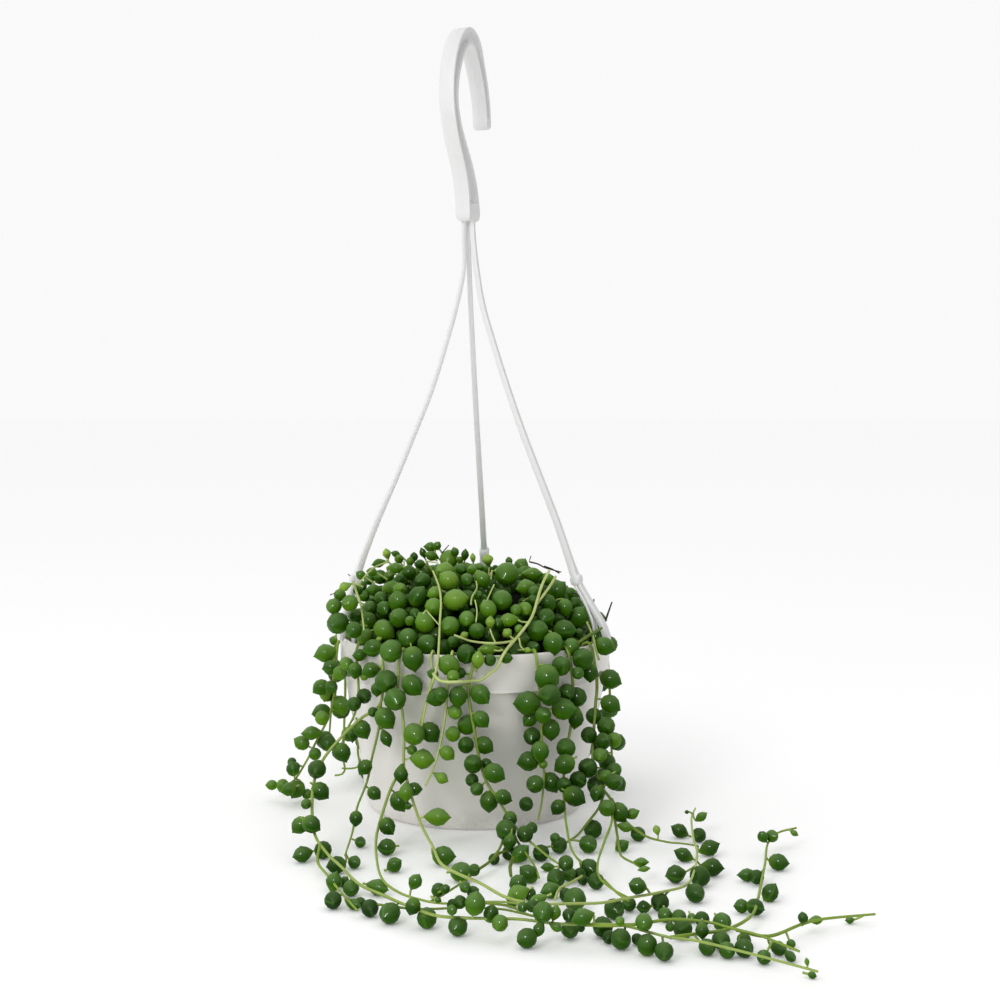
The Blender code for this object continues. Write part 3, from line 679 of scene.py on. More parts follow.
def over_the_rim(azimuth):
    return [polar(azimuth, 57.7, soil_top + stem_radius + 0.35), polar(azimuth, 62.3, 82.2),
            polar(azimuth, 65.4, rim_top + stem_radius + 0.75), polar(azimuth, beside_rim, below_rim)]


STRINGS = {
    "string_front_left": (232.0, [
        (-43, -55, 60), (-52, -52, 52), (-60, -55, 45), (-69, -62, 35), (-72, -75, 26), (-70, -92, 12),
        (-63, -110, 8), (-55, -127, 7), (-46, -149, 7), (-36, -162, 7), (-26, -174, 7), (-15, -185, 7),
        (-3, -188, 7), (16, -192, 8), (31, -197, 8), (52, -198, 8), (62, -205, 8), (70, -208, 7),
        (80, -212, 7), (100, -227, 7), (117, -235, 5)], [
        [(-43, -55, 60), (-44, -57, 48), (-47, -58, 35), (-49, -61, 25), (-53, -67, 15), (-54, -82, 8),
         (-55, -108, 6)],
        [(-66, -104, 9), (-66, -114, 5), (-60, -130, 4), (-53, -150, 4), (-45, -171, 4)],
        [(38, -198, 8), (55, -204, 10), (72, -198, 10), (85, -198, 9), (92, -204, 9), (102, -209, 8),
         (114, -219, 6)],
        [(94, -206, 9), (106, -204, 6), (121, -189, 5), (131, -183, 5), (152, -175, 4)],
        [(70, -208, 7), (83, -198, 5), (93, -194, 5), (104, -180, 5), (110, -161, 5), (115, -142, 6),
         (121, -118, 6), (127, -92, 6), (134, -79, 7), (143, -75, 8)]]),
    "string_middle": (240.0, [
        (-35, -61, 68), (-33, -63, 58), (-32, -66, 46), (-32, -68, 34), (-30, -71, 27), (-27, -75, 18),
        (-23, -85, 11), (-18, -103, 8), (-14, -126, 8), (-7, -139, 8), (2, -151, 8), (12, -171, 9),
        (23, -178, 9), (37, -178, 9), (48, -177, 9), (58, -169, 8), (70, -163, 8), (83, -151, 7),
        (89, -134, 7), (94, -108, 7), (95, -90, 8), (98, -63, 9), (101, -54, 11)], [
        [(-32, -68, 33), (-37, -71, 26), (-41, -75, 15), (-43, -88, 8), (-41, -116, 6), (-37, -141, 6),
         (-30, -153, 5), (-22, -161, 5), (-12, -166, 5), (4, -161, 4), (14, -162, 4), (24, -168, 4)]]),
    "string_short_left": (216.0, [(-54, -46, 62), (-56, -46, 52), (-60, -46, 44), (-63, -45, 34)], []),
    "string_left": (196.0, [
        (-67, -19, 70), (-68, -15, 56), (-71, -12, 44), (-78, -9, 30), (-83, -7, 20), (-90, -4, 10),
        (-101, 1, 6)], []),
    "string_short_middle": (253.0, [(-19, -68, 76), (-21, -69, 66), (-24, -71, 52)], []),
    "string_pale": (261.0, [
        (-12, -69, 72), (-13, -70, 60), (-15, -71, 47), (-18, -75, 36), (-22, -80, 28)], []),
    "string_centre": (270.0, [
        (-3, -70, 70), (-2, -71, 60), (0, -72, 49), (2, -73, 38), (5, -76, 29), (10, -79, 22), (15, -84, 15),
        (20, -90, 10), (28, -109, 8), (33, -123, 8), (38, -133, 8)], [
        [(15, -84, 15), (18, -93, 8), (23, -109, 5), (25, -122, 5), (26, -135, 5)],
        [(14, -83, 16), (12, -94, 8), (8, -108, 5), (3, -118, 4), (-2, -127, 3)]]),
    "string_right_of_centre": (294.0, [
        (29, -63, 67), (30, -64, 49), (31, -67, 31), (30, -72, 20), (28, -77, 12)], []),
    "string_front_right": (309.0, [
        (45, -53, 66), (44, -55, 50), (41, -60, 36), (40, -65, 24), (40, -73, 16), (40, -90, 12),
        (41, -107, 8), (44, -123, 7)], []),
    "string_right": (323.0, [
        (57, -40, 66), (56, -44, 56), (55, -48, 46), (54, -53, 34), (56, -56, 26), (59, -59, 20),
        (62, -60, 16), (61, -74, 11), (56, -95, 8), (51, -121, 7), (50, -140, 7), (54, -148, 5),
        (60, -156, 4)], [
        [(59, -59, 20), (56, -64, 14), (50, -69, 8), (45, -77, 5), (38, -86, 4), (31, -90, 4)],
        [(62, -60, 17), (63, -74, 7), (62, -98, 6), (62, -110, 6), (66, -119, 6), (70, -125, 5)],
        [(62, -60, 17), (67, -64, 9), (75, -80, 6), (84, -86, 5), (90, -88, 5), (97, -90, 4.5)]]),
}
LEAVES = {
    "string_left": [
        (326, 653, 9.5, .45, 195, 11.5), (331, 667, 7, .2, 190), (340, 673, 7, .5), (346, 663, 6, .6),
        (321, 687, 7.5, .3, 215), (331, 687, 6.5, .25), (326, 693, 5.5, .75, 260, 8), (322, 712, 8, .25, 190),
        (322, 718, 7, .6), (341, 705, 8, .45, 290, 9), (335, 702, 4.5, .6), (312, 733, 7, .4, 180, 10),
        (302, 743, 7, .45, 150), (328, 743, 8, .2), (315, 754, 6, .4), (293, 769, 6.5, .2, 100),
        (292, 762, 4.5, .2), (282, 785, 5.5, .5, 250), (272, 785, 5, .5, 180), (297, 789, 8, .3, 240),
        (289, 789, 6.5, .3, 200), (307, 794, 5, .4), (364, 676, 4.5, .75), (295, 767, 5, .3)],
    "string_short_left": [
        (355, 670, 7, .3, 270), (371, 670, 7.5, .35, 200), (360, 655, 6, .35, 180), (364, 696, 7.5, .15),
        (354, 704, 7, .15), (347, 664, 6.5, .6), (352, 734, 6.5, .2, 275)],
    "string_front_left": [
        (317, 769, 9, .15), (320, 791, 8.5, .15, -40), (306, 804, 5, .3), (300, 825, 8, .35, 225),
        (311, 824, 8.5, .15, -30), (342, 752, 8.5, .25, -65), (362, 729, 8.5, .3, -60),
        (377, 689, 6, .2, 270), (373, 712, 5, .2), (386, 681, 11, .25, None, 12), (385, 718, 10, .35, -50),
        (386, 738, 6, .25, -65, 9), (365, 767, 7, .25, 230), (374, 793, 6.5, .25, -40),
        (356, 818, 6.5, .12, 270), (360, 842, 5.5, .4, -25, 7), (354, 862, 6.5, .35, -40, 8),
        (303, 854, 8, .35, 218, 11), (323, 850, 8.5, .2), (337, 865, 8.5, .12, 200),
        (334, 882, 8.5, .6, 75, 10), (344, 882, 5, .45, 60, 7), (351, 888, 8, .4), (333, 900, 8.5, .08),
        (353, 904, 5.5, .4, -30, 9.5), (360, 902, 5, .2, -10, 7), (370, 908, 8.5, .05),
        (390, 913, 10, .35, 240, 11), (413, 906, 7.5, .1, 250), (427, 918, 10, .42), (458, 926, 9.5, .35),
        (438, 890, 6.5, .12, 60), (445, 889, 4.5, .15, 30), (438, 900, 3, .35, -20), (453, 905, 6, .08),
        (460, 902, 6.5, .12), (452, 910, 5, .35), (475, 904, 10, .4, 80, 11), (465, 887, 5.5, .25),
        (473, 892, 6, .2), (491, 914, 7.5, .15, 80, 8.5), (500, 923, 8, .5), (523, 907, 5, .25),
        (532, 906, 6, .08), (538, 900, 6, .55, 200, 10), (543, 912, 10, .28), (555, 913, 6, .55, 75, 8),
        (527, 938, 9.5, .3, 215), (539, 929, 6, .35, 240, 8.5), (556, 927, 4.5, .4, -20, 7),
        (570, 929, 9, .35, -85, 10.5), (581, 928, 4, .08), (569, 915, 6.5, .06), (583, 917, 9, .3, 195, 11.5),
        (603, 927, 10, .15), (609, 937, 6.5, .1), (621, 939, 10, .3, None, 11), (620, 921, 4.5, .55),
        (644, 922, 8.5, .4), (637, 939, 5.5, .1), (647, 945, 10, .38, 80), (664, 951, 9.5, .25, 265, 12),
        (670, 927, 4.5, .3), (683, 929, 9.5, .2), (702, 930, 7, .15, 270, 8.5), (707, 947, 8, .35, -60),
        (721, 940, 9, .4), (727, 950, 8, .5), (744, 940, 7, .3), (744, 948, 9, .2, -60), (764, 957, 7, .35),
        (778, 948, 7, .25, -50, 11), (790, 956, 5, .25, -65, 9.5), (791, 944, 4.5, .5),
        (807, 962, 2.5, .6, 100, 4.5), (812, 975, 3.5, .5, -30, 4), (803, 918, 5, .15, 100),
        (816, 920, 4.5, .5, 5, 7), (850, 920, 3.5, .6, 180, 5), (742, 906, 7, .4, 175, 8.5),
        (755, 907, 8, .08, -20), (770, 893, 8, .2, 60, 9), (748, 875, 6.5, .4, 180, 10), (757, 877, 7, .1),
        (778, 862, 8, .3, -15, 9), (763, 837, 5.5, .3, 120, 7), (772, 836, 6, .4),
        (794, 833, 3, .5, -30, 4.5)],
    "string_middle": [
        (391, 651, 11, .38), (413, 658, 10.5, .25, 280), (412, 685, 10, .3, -45), (395, 699, 11, .35),
        (414, 734, 10.5, .5), (422, 759, 10, .65, 0, 12.5), (412, 750, 5, .5), (401, 774, 7.5, .2, 270, 9),
        (406, 792, 7.5, .55, 270, 9.5), (414, 789, 6.5, .3, 0), (399, 801, 9, .2, 300), (408, 806, 3.5, .35),
        (437, 817, 9, .6, 3, 13), (387, 826, 8, .18, -50), (387, 847, 8, .25, 180),
        (394, 865, 7.5, .38, 38, 9), (377, 887, 8, .6, -12, 12.5), (415, 882, 7, .35, 62, 9),
        (443, 856, 9.5, .5, 0, 10.5), (461, 872, 9.5, .58, 5, 10.5), (474, 870, 6, .2), (629, 904, 7, .3),
        (614, 909, 10, .22), (644, 907, 6.5, .12, 180, 7.5), (660, 902, 9, .1), (665, 915, 7, .25),
        (679, 917, 7, .3), (692, 918, 4.5, .5), (702, 919, 7, .12), (722, 922, 8.5, .25),
        (638, 886, 8.5, .18, 160, 10), (676, 874, 9, .15, 185, 11), (695, 893, 9, .2, -55, 10),
        (700, 876, 10, .15), (712, 867, 9, .15, -5, 11), (684, 855, 7, .2, 155, 10),
        (709, 848, 8, .25, 25, 10.5), (680, 831, 7, .15, 150, 9.5), (699, 835, 7, .15),
        (701, 817, 4.5, .45, 40, 7), (687, 812, 2, .1, 180, 2.5)],
    "string_short_middle": [
        (430, 732, 9.5, .2, -50), (433, 674, 5, .3, 160)],
    "string_pale": [
        (437, 697, 9, .25, 200), (441, 694, 7, .25), (453, 676, 6, .6), (455, 712, 7, .65),
        (453, 734, 7.5, .6), (447, 753, 7, .6, -40), (440, 777, 6, .7, -25, 8.5), (449, 665, 10, .5, 150)],
    "string_centre": [
        (466, 654, 9.5, .15), (490, 660, 6, .2), (460, 673, 5.5, .15), (458, 696, 9, .3, 270),
        (480, 694, 9.5, .35, -45), (467, 725, 9.5, .35), (481, 719, 8, .3, -50), (466, 745, 8, .12),
        (484, 745, 8.5, .25, -30), (473, 764, 9, .15), (486, 764, 5.5, .2, 0), (494, 773, 9.5, .3, -25),
        (472, 780, 6.5, .12), (477, 789, 6.5, .3), (489, 801, 9, .25, 270), (503, 797, 7.5, .2, -20),
        (510, 819, 7, .15, 260), (506, 830, 10, .22), (510, 841, 6.5, .2, 260, 8), (525, 834, 8, .08),
        (532, 828, 5.5, .15), (506, 658, 5.5, .25, 0), (494, 859, 5.5, .12), (509, 853, 7, .12),
        (520, 854, 8.5, .45, 45, 11), (529, 874, 8.5, .3, 140, 9.5), (541, 853, 8, .12),
        (548, 867, 4.5, .45, 180, 7), (556, 878, 9, .32), (551, 890, 8, .32, 185, 10.5), (569, 874, 7, .6),
        (566, 863, 7.5, .18), (518, 884, 8.5, .4, 60), (518, 894, 9, .62, 200, 11.5), (530, 894, 6, .08),
        (512, 902, 5, .3), (566, 895, 6.5, .08), (575, 899, 10.5, .28)],
    "string_right_of_centre": [
        (547, 677, 12, .35, 280), (550, 695, 10.5, .15), (528, 703, 11.5, .3, 180), (543, 715, 8, .35),
        (530, 719, 7, .3, 225), (551, 729, 9, .25, 270), (532, 736, 8.5, .15), (540, 751, 9, .3, 270),
        (529, 761, 9.5, .25, 190), (543, 764, 4.5, .6), (535, 784, 8.5, .25), (551, 782, 9, .25, 300),
        (526, 804, 7, .12), (561, 666, 9.5, .25), (563, 709, 10.5, .35, 0)],
    "string_front_right": [
        (578, 673, 6, .3), (590, 672, 8, .15, 270), (567, 692, 8, .12), (577, 697, 9.5, .15),
        (576, 718, 8, .15, 260, 10.5), (566, 748, 9.5, .3), (565, 764, 9.5, .25, 210), (564, 785, 7.5, .12),
        (578, 780, 8.5, .12), (574, 796, 9.5, .12, -30, 10.5), (558, 807, 7, .15, 230), (583, 659, 10.5, .2),
        (559, 845, 8, .25, -80), (555, 838, 5, .2)],
    "string_right": [
        (604, 646, 9, .3, -20), (610, 679, 9.5, .25, -20), (610, 704, 9, .25, -30), (594, 716, 8, .3),
        (606, 726, 9, .3), (589, 735, 8, .12), (603, 741, 8, .12), (600, 755, 7, .5), (588, 768, 9.5, .12),
        (596, 785, 9, .15), (607, 762, 8.5, .3), (597, 793, 7, .2, 250), (614, 782, 8, .25),
        (607, 808, 8, .4), (619, 812, 9, .28, -60), (632, 814, 5.5, .5, 25, 7.5), (625, 827, 5, .5, -10, 8),
        (638, 834, 7, .22, -40), (657, 831, 4, .9, 105, 6), (593, 829, 9, .2), (588, 844, 8.5, .35, -40),
        (589, 868, 9, .22), (580, 874, 6, .12), (583, 880, 5, .1), (596, 881, 8, .2),
        (622, 846, 6, .55, 40, 8), (641, 862, 4.5, .5, 5, 7.5), (644, 869, 3, .55, 10, 6),
        (614, 740, 7.5, .6), (614, 770, 7.5, .3), (606, 776, 6, .5, 200), (618, 783, 7.5, .25, -50),
        (600, 745, 7, .1)]}


picked = random.Random(21)
# A stem lower than lying_height lies on the floor, with the leaves within near_stem of it. Leaves are made a
# little larger than they are read, and darker on the floor.
lying_height, near_stem = 13.0, 6.0
reading_scale, floor_shade = 1.06, 0.62
longest_stalk, lowest_stalk = 5.5, 0.6
closest = 0.96


class Bead:
    """One leaf: its middle, which way its point looks, its sizes, its paleness and its shape."""

    def __init__(self, centre, axis, radius, half_length, tone):
        self.centre, self.axis, self.radius = centre, axis.normalized(), radius
        self.half_length, self.tone = half_length, tone
        self.kind = 2 if tone >= 0.7 else 1 if half_length > radius * 1.15 else 0
        self.roll = picked.uniform(0.0, math.tau)
        self.fixed = False

    def root(self):
        return self.centre - self.axis * self.half_length * 0.9

    def lift(self):
        """Brings a leaf that dips into the floor nearer along its line of sight, until it rests on it."""
        across = math.sqrt(max(0.0, 1.0 - self.axis.z ** 2)) * self.radius
        lowest = max(across, point_length * abs(min(0.0, self.axis.z)) * self.half_length + 0.2 * across)
        eye = EYE / MM
        if self.centre.z < lowest:
            self.centre = eye + (self.centre - eye) * (eye.z - lowest) / (eye.z - self.centre.z)

    def slide(self, distance):
        """Moves the leaf along its line of sight, where neither the floor nor the pot is in the way."""
        there = self.centre + (self.centre - EYE * 1000.0).normalized() * distance
        clear = there.z > self.radius and (
            there.z > rim_top + self.radius
            or math.hypot(there.x, there.y) - self.radius - 0.2 > pot_reach(min(there.z, rim_top)))
        if not self.fixed and (distance < 0.0 or clear):
            self.centre = there


def leaf_radius(size, y):
    """The radius of a leaf, from its radius in pixels, at the depth y."""
    return reading_scale * size * pixel_size(y)


def read_off(entry, y):
    """The leaf of an entry, at the depth y."""
    px, py, size, tone, tip, half_size = (*entry, None, None)[:6]
    radius = leaf_radius(size, y)
    half_length = radius * (half_size / size if half_size else 1.0 if tip is None else 1.06)
    if tip is None:
        axis = Vector((picked.uniform(-0.6, 0.6), -1.0, picked.uniform(-0.6, 0.4)))
    else:
        angle = math.radians(tip)
        axis = Vector((math.cos(angle), picked.uniform(-0.4, 0.0), math.sin(angle)))
    return Bead(seen(px, py, y), axis, radius, half_length, tone + picked.uniform(-0.03, 0.03))


def settle(beads):
    """Slides leaves along their lines of sight until they no longer cut into each other."""
    for _ in range(14):
        for k, here in enumerate(beads):
            for there in beads[:k]:
                gap = there.centre - here.centre
                need = (here.radius + there.radius) * closest
                if abs(gap.x) < need and gap.length < need:
                    push = (need - gap.length) * (0.3 if gap.y >= 0.0 else -0.3)
                    here.slide(-push)
                    there.slide(push)


def pot_reach(height):
    """How far out the pot's wall stands at a height."""
    outline = [(50.0, 0.0), (53.8, 3.6), (57.3, 30.0), (61.9, 50.5), (63.9, 64.0), (66.2, 65.0), (66.2, 83.0)]
    for (low_reach, low), (high_reach, high) in zip(outline, outline[1:]):
        if height <= high:
            return eased(low_reach, high_reach, max(0.0, (height - low) / (high - low)))
    return 0.0


def nearest(place, routes):
    return min((point for route in routes for point in route), key=lambda point: (point - place).length)


def nearest_seen(px, py, routes):
    """The stem place that the photograph shows nearest to a pixel."""
    return min((point for route in routes for point in route),
               key=lambda point: math.dist(pixel(point), (px, py)))


def floor_depth(py, height):
    """The depth at which the photograph shows, on a row of pixels, what lies at a height over the floor."""
    return (EYE.z * 1000.0 - height) * FOCAL / (py - HORIZON_Y) + EYE.y * 1000.0


def hung(entry, routes):
    """A leaf that the photograph shows, beside its stem at the stem's depth, or on the floor."""
    px, py, size = entry[:3]
    on_stem = nearest_seen(px, py, routes)
    radius = leaf_radius(size, on_stem.y)
    if on_stem.z < lying_height:
        bead = read_off(entry, floor_depth(py, radius))
        bead.tone *= floor_shade
        if bead.axis.z < 0.0:
            bead.axis = Vector((bead.axis.x, bead.axis.y + bead.axis.z, -0.06)).normalized()
        if (nearest(bead.centre, routes) - bead.centre).length < radius + near_stem:
            return bead
    beside = (seen(px, py, on_stem.y) - on_stem).length
    ahead = math.sqrt(max(0.0, (radius + 1.1) ** 2 - beside ** 2)) * picked.choice([1.0, 1.0, 0.6, -0.5])
    bead = read_off(entry, on_stem.y - ahead)
    while math.hypot(bead.centre.x, bead.centre.y) < pot_reach(bead.centre.z) + radius + 0.2:
        bead.slide(-0.5)
    bead.lift()
    return bead


def set_leaf(sprig, bead, joint):
    """The leaf and the short stalk that bears it, from the joint on the stem."""
    sprig.leaf(bead)
    root = bead.root()
    middle = (joint + root) * 0.5 - bead.axis * 0.8
    stalk = [Vector((place.x, place.y, max(place.z, lowest_stalk)))
             for place in (joint, joint.lerp(middle, 0.6), middle.lerp(root, 0.5), root)]
    sprig.stem(stalk, 0.5, 0.42, min(1.0, bead.tone + 0.25))


string_routes, string_beads = {}, {}
for node, (azimuth, route, side_routes) in STRINGS.items():
    string_routes[node] = [smooth_route(stem, 2.5) for stem in [over_the_rim(azimuth) + route] + side_routes]
    string_beads[node] = [hung(entry, string_routes[node]) for entry in LEAVES[node]]
hung_beads = [bead for beads in string_beads.values() for bead in beads]
settle(hung_beads)
for bead in hung_beads:
    bead.lift()

all_routes = [route for routes in string_routes.values() for route in routes]
floor_pixel_start, floor_pixel_end = 0.42, 0.36
stem_tone = {"string_pale": 0.85, "string_short_middle": 0.8, "string_middle": 0.7, "string_front_left": 0.55}
# Side stems that lie on the floor: half thickness in pixels, paleness, and the pixels they pass. Stems that
# lie in shade get a low paleness, as painted shade.
floor_stems = {
    "string_front_left": [
        (1.3, .25, [(473, 901), (485, 903), (509, 906), (529, 915), (548, 917)]),
        (1.1, .2, [(480, 908), (500, 909), (516, 912), (532, 916)]),
        (1.2, .75, [(616, 924), (636, 924), (655, 921), (671, 920)]),
        (1.2, .25, [(366, 903), (390, 906), (413, 909), (430, 909), (455, 908)])],
    "string_centre": [
        (1.5, .15, [(479, 869), (488, 863), (500, 853), (510, 850)]),
        (1.9, .1, [(513, 858), (510, 867), (511, 876)]),
        (1.4, .75, [(555, 900), (558, 891), (560, 888), (572, 882), (582, 876)])],
    "string_right": [(1.4, .4, [(604, 880), (614, 890), (624, 898), (629, 901)])],
    "string_middle": [(1.2, .2, [(430, 902), (446, 893), (460, 884), (468, 879)])]}

for node, routes in string_routes.items():
    sprig = Sprig()
    for size, paleness, pixels in floor_stems.get(node, []):
        laid = [seen(spot.x, spot.y, floor_depth(spot.y, 5.0))
                for spot in smooth_route([(px, py, 0.0) for px, py in pixels], 4.0)]
        sprig.stem(laid, size * floor_pixel_start, size * floor_pixel_end, paleness)
    for k, route in enumerate(routes):
        thick, faded = (1.0, 1.0) if k == 0 else (0.85, 0.7)
        sprig.stem(route, stem_radius * thick, stem_radius * 0.55, stem_tone.get(node, 0.42) * faded)
    for bead in string_beads[node]:
        root = bead.root()
        joint = nearest(root, all_routes)
        in_front = joint.y < bead.centre.y and math.dist(pixel(joint), pixel(bead.centre)) < bead.radius * 2.3
        linked = (joint - root).length < longest_stalk and not in_front
        set_leaf(sprig, bead, joint if linked else root - bead.axis * 2.0)
    piece = sprig.grow(node + "_leaves")
    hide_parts(node)
    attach(piece, "root")


# The stems at the sides and the back, which the photograph hides, follow the same seeded rule as the frame's.
# Their leaves stay where the pot or a front leaf hides them, and most of their ends on the floor do too.
HIDDEN_AZIMUTHS = [14, 33, 50, 66, 99, 115, 131, 147, 163, 180]
hidden_left, hidden_right = 362.0, 604.0
end_slack_left, end_slack_right = 22.0, 12.0
hanging_low, lying_low, fall = 26.0, 7.0, 74.6
draw = random.Random(7)


def hidden_route(azimuth):
    """A stem that hangs down the pot's side and then lies on the floor."""
    route = over_the_rim(azimuth)
    foot_reach = draw.uniform(69.5, 74.0)
    low = draw.choice((lying_low, lying_low, lying_low, hanging_low))
    for height in (66.0, 48.0, 30.0, 16.0, lying_low):
        if height >= low:
            azimuth += draw.uniform(-1.5, 1.5)
            reach = beside_rim + (foot_reach - beside_rim) * (below_rim - height) / fall
            route.append(polar(azimuth, reach, height))
    if low == lying_low:
        course = math.radians(azimuth + draw.uniform(-25.0, 25.0))
        place = route[-1]
        for _ in range(draw.randint(1, 4)):
            course += math.radians(draw.uniform(-22.0, 22.0))
            place = place + Vector((math.cos(course), math.sin(course), 0.0)) * 15.0
            route.append(Vector((place.x, place.y, draw.uniform(4.5, 7.0))))
    return route


def unseen(centre):
    """Whether the pot, or a leaf in front, hides most of a leaf from the camera."""
    px, py = pixel(centre)
    return hidden_left < px < hidden_right or any(
        math.dist((px, py), pixel(bead.centre)) < bead.radius * 1.2 for bead in hung_beads)


for k, azimuth in enumerate(HIDDEN_AZIMUTHS):
    route = smooth_route(hidden_route(azimuth), 2.5)
    while (len(route) > 40 and
           not hidden_left - end_slack_left < pixel(route[-1])[0] < hidden_right + end_slack_right):
        route.pop()
    sprig = Sprig()
    sprig.stem(route, stem_radius, stem_radius * 0.62, 0.42)
    spin, following, travelled = picked.uniform(0.0, 360.0), 14.0, 0.0
    for a, b in zip(route, route[1:]):
        travelled += (b - a).length
        if travelled < following:
            continue
        following += picked.uniform(7.0, 11.5)
        run = (b - a).normalized()
        for attempt in range(12):
            spin += 137.5 if attempt == 0 else 35.0
            side = run.cross(Vector((0.31, 0.17, 0.93))).normalized()
            outward = (Matrix.Rotation(math.radians(spin), 3, run) @ side + run * 0.25).normalized()
            radius = picked.uniform(3.8, 4.7)
            centre = a + outward * (radius + 2.0)
            clear = centre.z > radius and math.hypot(centre.x, centre.y) > pot_reach(centre.z) + radius + 0.3
            if clear and unseen(centre):
                half_length, tone = radius * picked.uniform(1.0, 1.12), picked.uniform(0.1, 0.4)
                set_leaf(sprig, Bead(centre, outward, radius, half_length, tone), a)
                break
    piece = sprig.grow("string_behind_%d_leaves" % (k + 1))
    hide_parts("string_behind_%d" % (k + 1))
    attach(piece, "root")


# The crown is a dense mound of leaves on short stems that hides the soil. The leaves that the photograph
# shows are read off it (a seventh value is a depth); the rest are scattered over the mound by a seeded rule,
# with a layer of leaves under them painted darker, as painted shade.
CROWN = [
    (346, 586, 5, .75, 200, 7, -46), (350, 603, 8, .42, None, 8, -46), (340, 595, 6, .35, None, 6, -40),
    (334, 606, 7.5, .35, None, 8, -40), (338, 623, 10.5, .2, None, 11, -42), (354, 630, 8, .22, None, 8, -50),
    (356, 616, 6.5, .08, None, 7, -38), (358, 590, 5, .15, None, 5, -36), (365, 637, 8, .45, 230),
    (370, 608, 7, .3), (369, 621, 8, .35, 120), (384, 630, 10, .45, -35), (399, 618, 9.5, .32),
    (398, 602, 9.5, .36, 95), (384, 608, 7.5, .28, None, 9), (381, 598, 6.5, .3), (374, 590, 6, .3, 180, 8),
    (364, 596, 5.5, .25), (362, 586, 5, .2), (392, 588, 7.5, .42, 0, 10.5), (400, 590, 7, .55),
    (418, 597, 9.5, .12, 60), (380, 577, 7, .18), (389, 576, 5, .35, 200, 6), (409, 573, 7, .25, 95),
    (400, 579, 5, .2), (423, 581, 8, .14), (395, 568, 5.5, .36, 0, 8.5), (379, 563, 4.5, .3, 195, 7),
    (387, 555, 4.5, .88, 100, 6.5), (396, 554, 3.5, .3, 160, 5), (399, 559, 4.5, .4),
    (410, 562, 4, .5, 80, 5.5), (414, 557, 4, .12, 90), (431, 547, 5, .36, 175, 7), (437, 546, 4, .3, 60),
    (432, 556, 5, .36, 160, 7.5), (423, 553, 3.5, .22, 110, 5.5), (420, 564, 4.5, .14, 190),
    (449, 559, 9, .6), (445, 572, 9.5, .6), (449, 581, 9.5, .6, 140), (455, 552, 4, .3, 110),
    (465, 555, 4, .2, 85, 6), (460, 560, 3.5, .4), (461, 569, 5.5, .3), (467, 580, 6.5, .22),
    (455, 600, 10.5, .6, 10, 11.5), (435, 593, 6.5, .55, 200, 7), (434, 607, 9, .5), (425, 623, 9.5, .5, 120),
    (450, 626, 9.5, .42), (467, 619, 8, .4), (408, 638, 9.5, .26), (427, 644, 9.5, .2),
    (373, 648, 8.5, .22, 190), (378, 640, 3, .95, 30, 4.5), (415, 614, 5.5, .15), (410, 621, 5, .4),
    (453, 642, 6, .12), (463, 636, 4, .7, 30, 5.5), (369, 580, 5, .26), (361, 575, 4.5, .3, 150),
    (372, 572, 4.5, .3, 170), (472, 570, 5, .5), (473, 559, 3, .85, 95, 5.5), (488, 561, 6, .88, 100, 6.5),
    (479, 568, 5, .36), (482, 579, 8, .36, -60, 9.5), (507, 574, 11.5, .34), (499, 571, 5, .85, 0, 6),
    (521, 566, 7, .36, 60), (532, 574, 6.5, .42, 0, 10.5), (526, 587, 8, .46, 190, 10), (547, 579, 6, .5),
    (557, 591, 9.5, .18, 50), (509, 561, 3.5, .3, 100), (502, 600, 10, .32), (478, 595, 4.5, .2),
    (488, 609, 8.5, .46, -70), (477, 631, 8, .2), (490, 624, 5, .72, 85, 7.5), (509, 620, 7, .52, 183, 10.5),
    (525, 609, 7, .55), (516, 610, 5.5, .42), (508, 634, 5.5, .68, 130), (538, 631, 10.5, .26),
    (546, 617, 8.5, .13), (548, 603, 8, .15, 110), (565, 607, 7.5, .3, 280), (576, 603, 6, .26),
    (579, 617, 9.5, .26, 60), (564, 630, 10, .14, 0), (553, 643, 10, .22, 275), (571, 647, 8.5, .3),
    (579, 633, 4.5, .15), (519, 629, 4.5, .55), (498, 623, 5, .15), (489, 649, 6, .58, 180, 11),
    (526, 650, 3, .75, 0, 5), (478, 660, 6.5, .66, 85, 9.5), (534, 592, 6, .2), (533, 600, 5, .15)]
MOUND = [(0.0, 116.5), (20.0, 115.5), (33.0, 112.5), (44.0, 107.0), (52.5, 99.0), (58.5, 91.0), (64.0, 85.5),
         (69.5, 82.0), (70.5, 76.0)]
skyline = [(326, 600), (335, 588), (345, 578), (360, 570), (372, 565), (384, 562), (400, 561), (420, 562),
           (436, 562), (455, 561), (480, 563), (505, 565), (528, 566), (546, 572), (560, 580), (572, 588),
           (585, 598), (595, 612), (602, 640)]
heart = Vector((0.0, 0.0, 70.0))


def mound_reach(height):
    """How far out the leaves' middles stand at a height."""
    if height >= MOUND[0][1]:
        return 0.0
    for (near, high), (far, low) in zip(MOUND, MOUND[1:]):
        if height >= low:
            return eased(near, far, (high - height) / (high - low))
    return MOUND[-1][0]


def on_mound(px, py):
    """The first place of the mound behind a pixel, or the closest that the pixel's line comes to it."""
    best, best_gap = None, 1e9
    y = -80.0
    while y < 45.0:
        place = seen(px, py, y)
        gap = math.hypot(place.x, place.y) - mound_reach(place.z)
        if place.z > MOUND[0][1]:
            gap = place.z - MOUND[0][1] + math.hypot(place.x, place.y) * 0.25
        if gap < best_gap:
            best, best_gap = place, gap
        if gap <= 0.0:
            break
        y += 0.7
    return best


def above_skyline(bead):
    """Whether a leaf would stand out above the line that the leaves make against the background."""
    px, py = pixel(bead.centre)
    for (left, a), (right, b) in zip(skyline, skyline[1:]):
        if left <= px <= right:
            return py - bead.radius / pixel_size(bead.centre.y) < eased(a, b, (px - left) / (right - left))
    return True


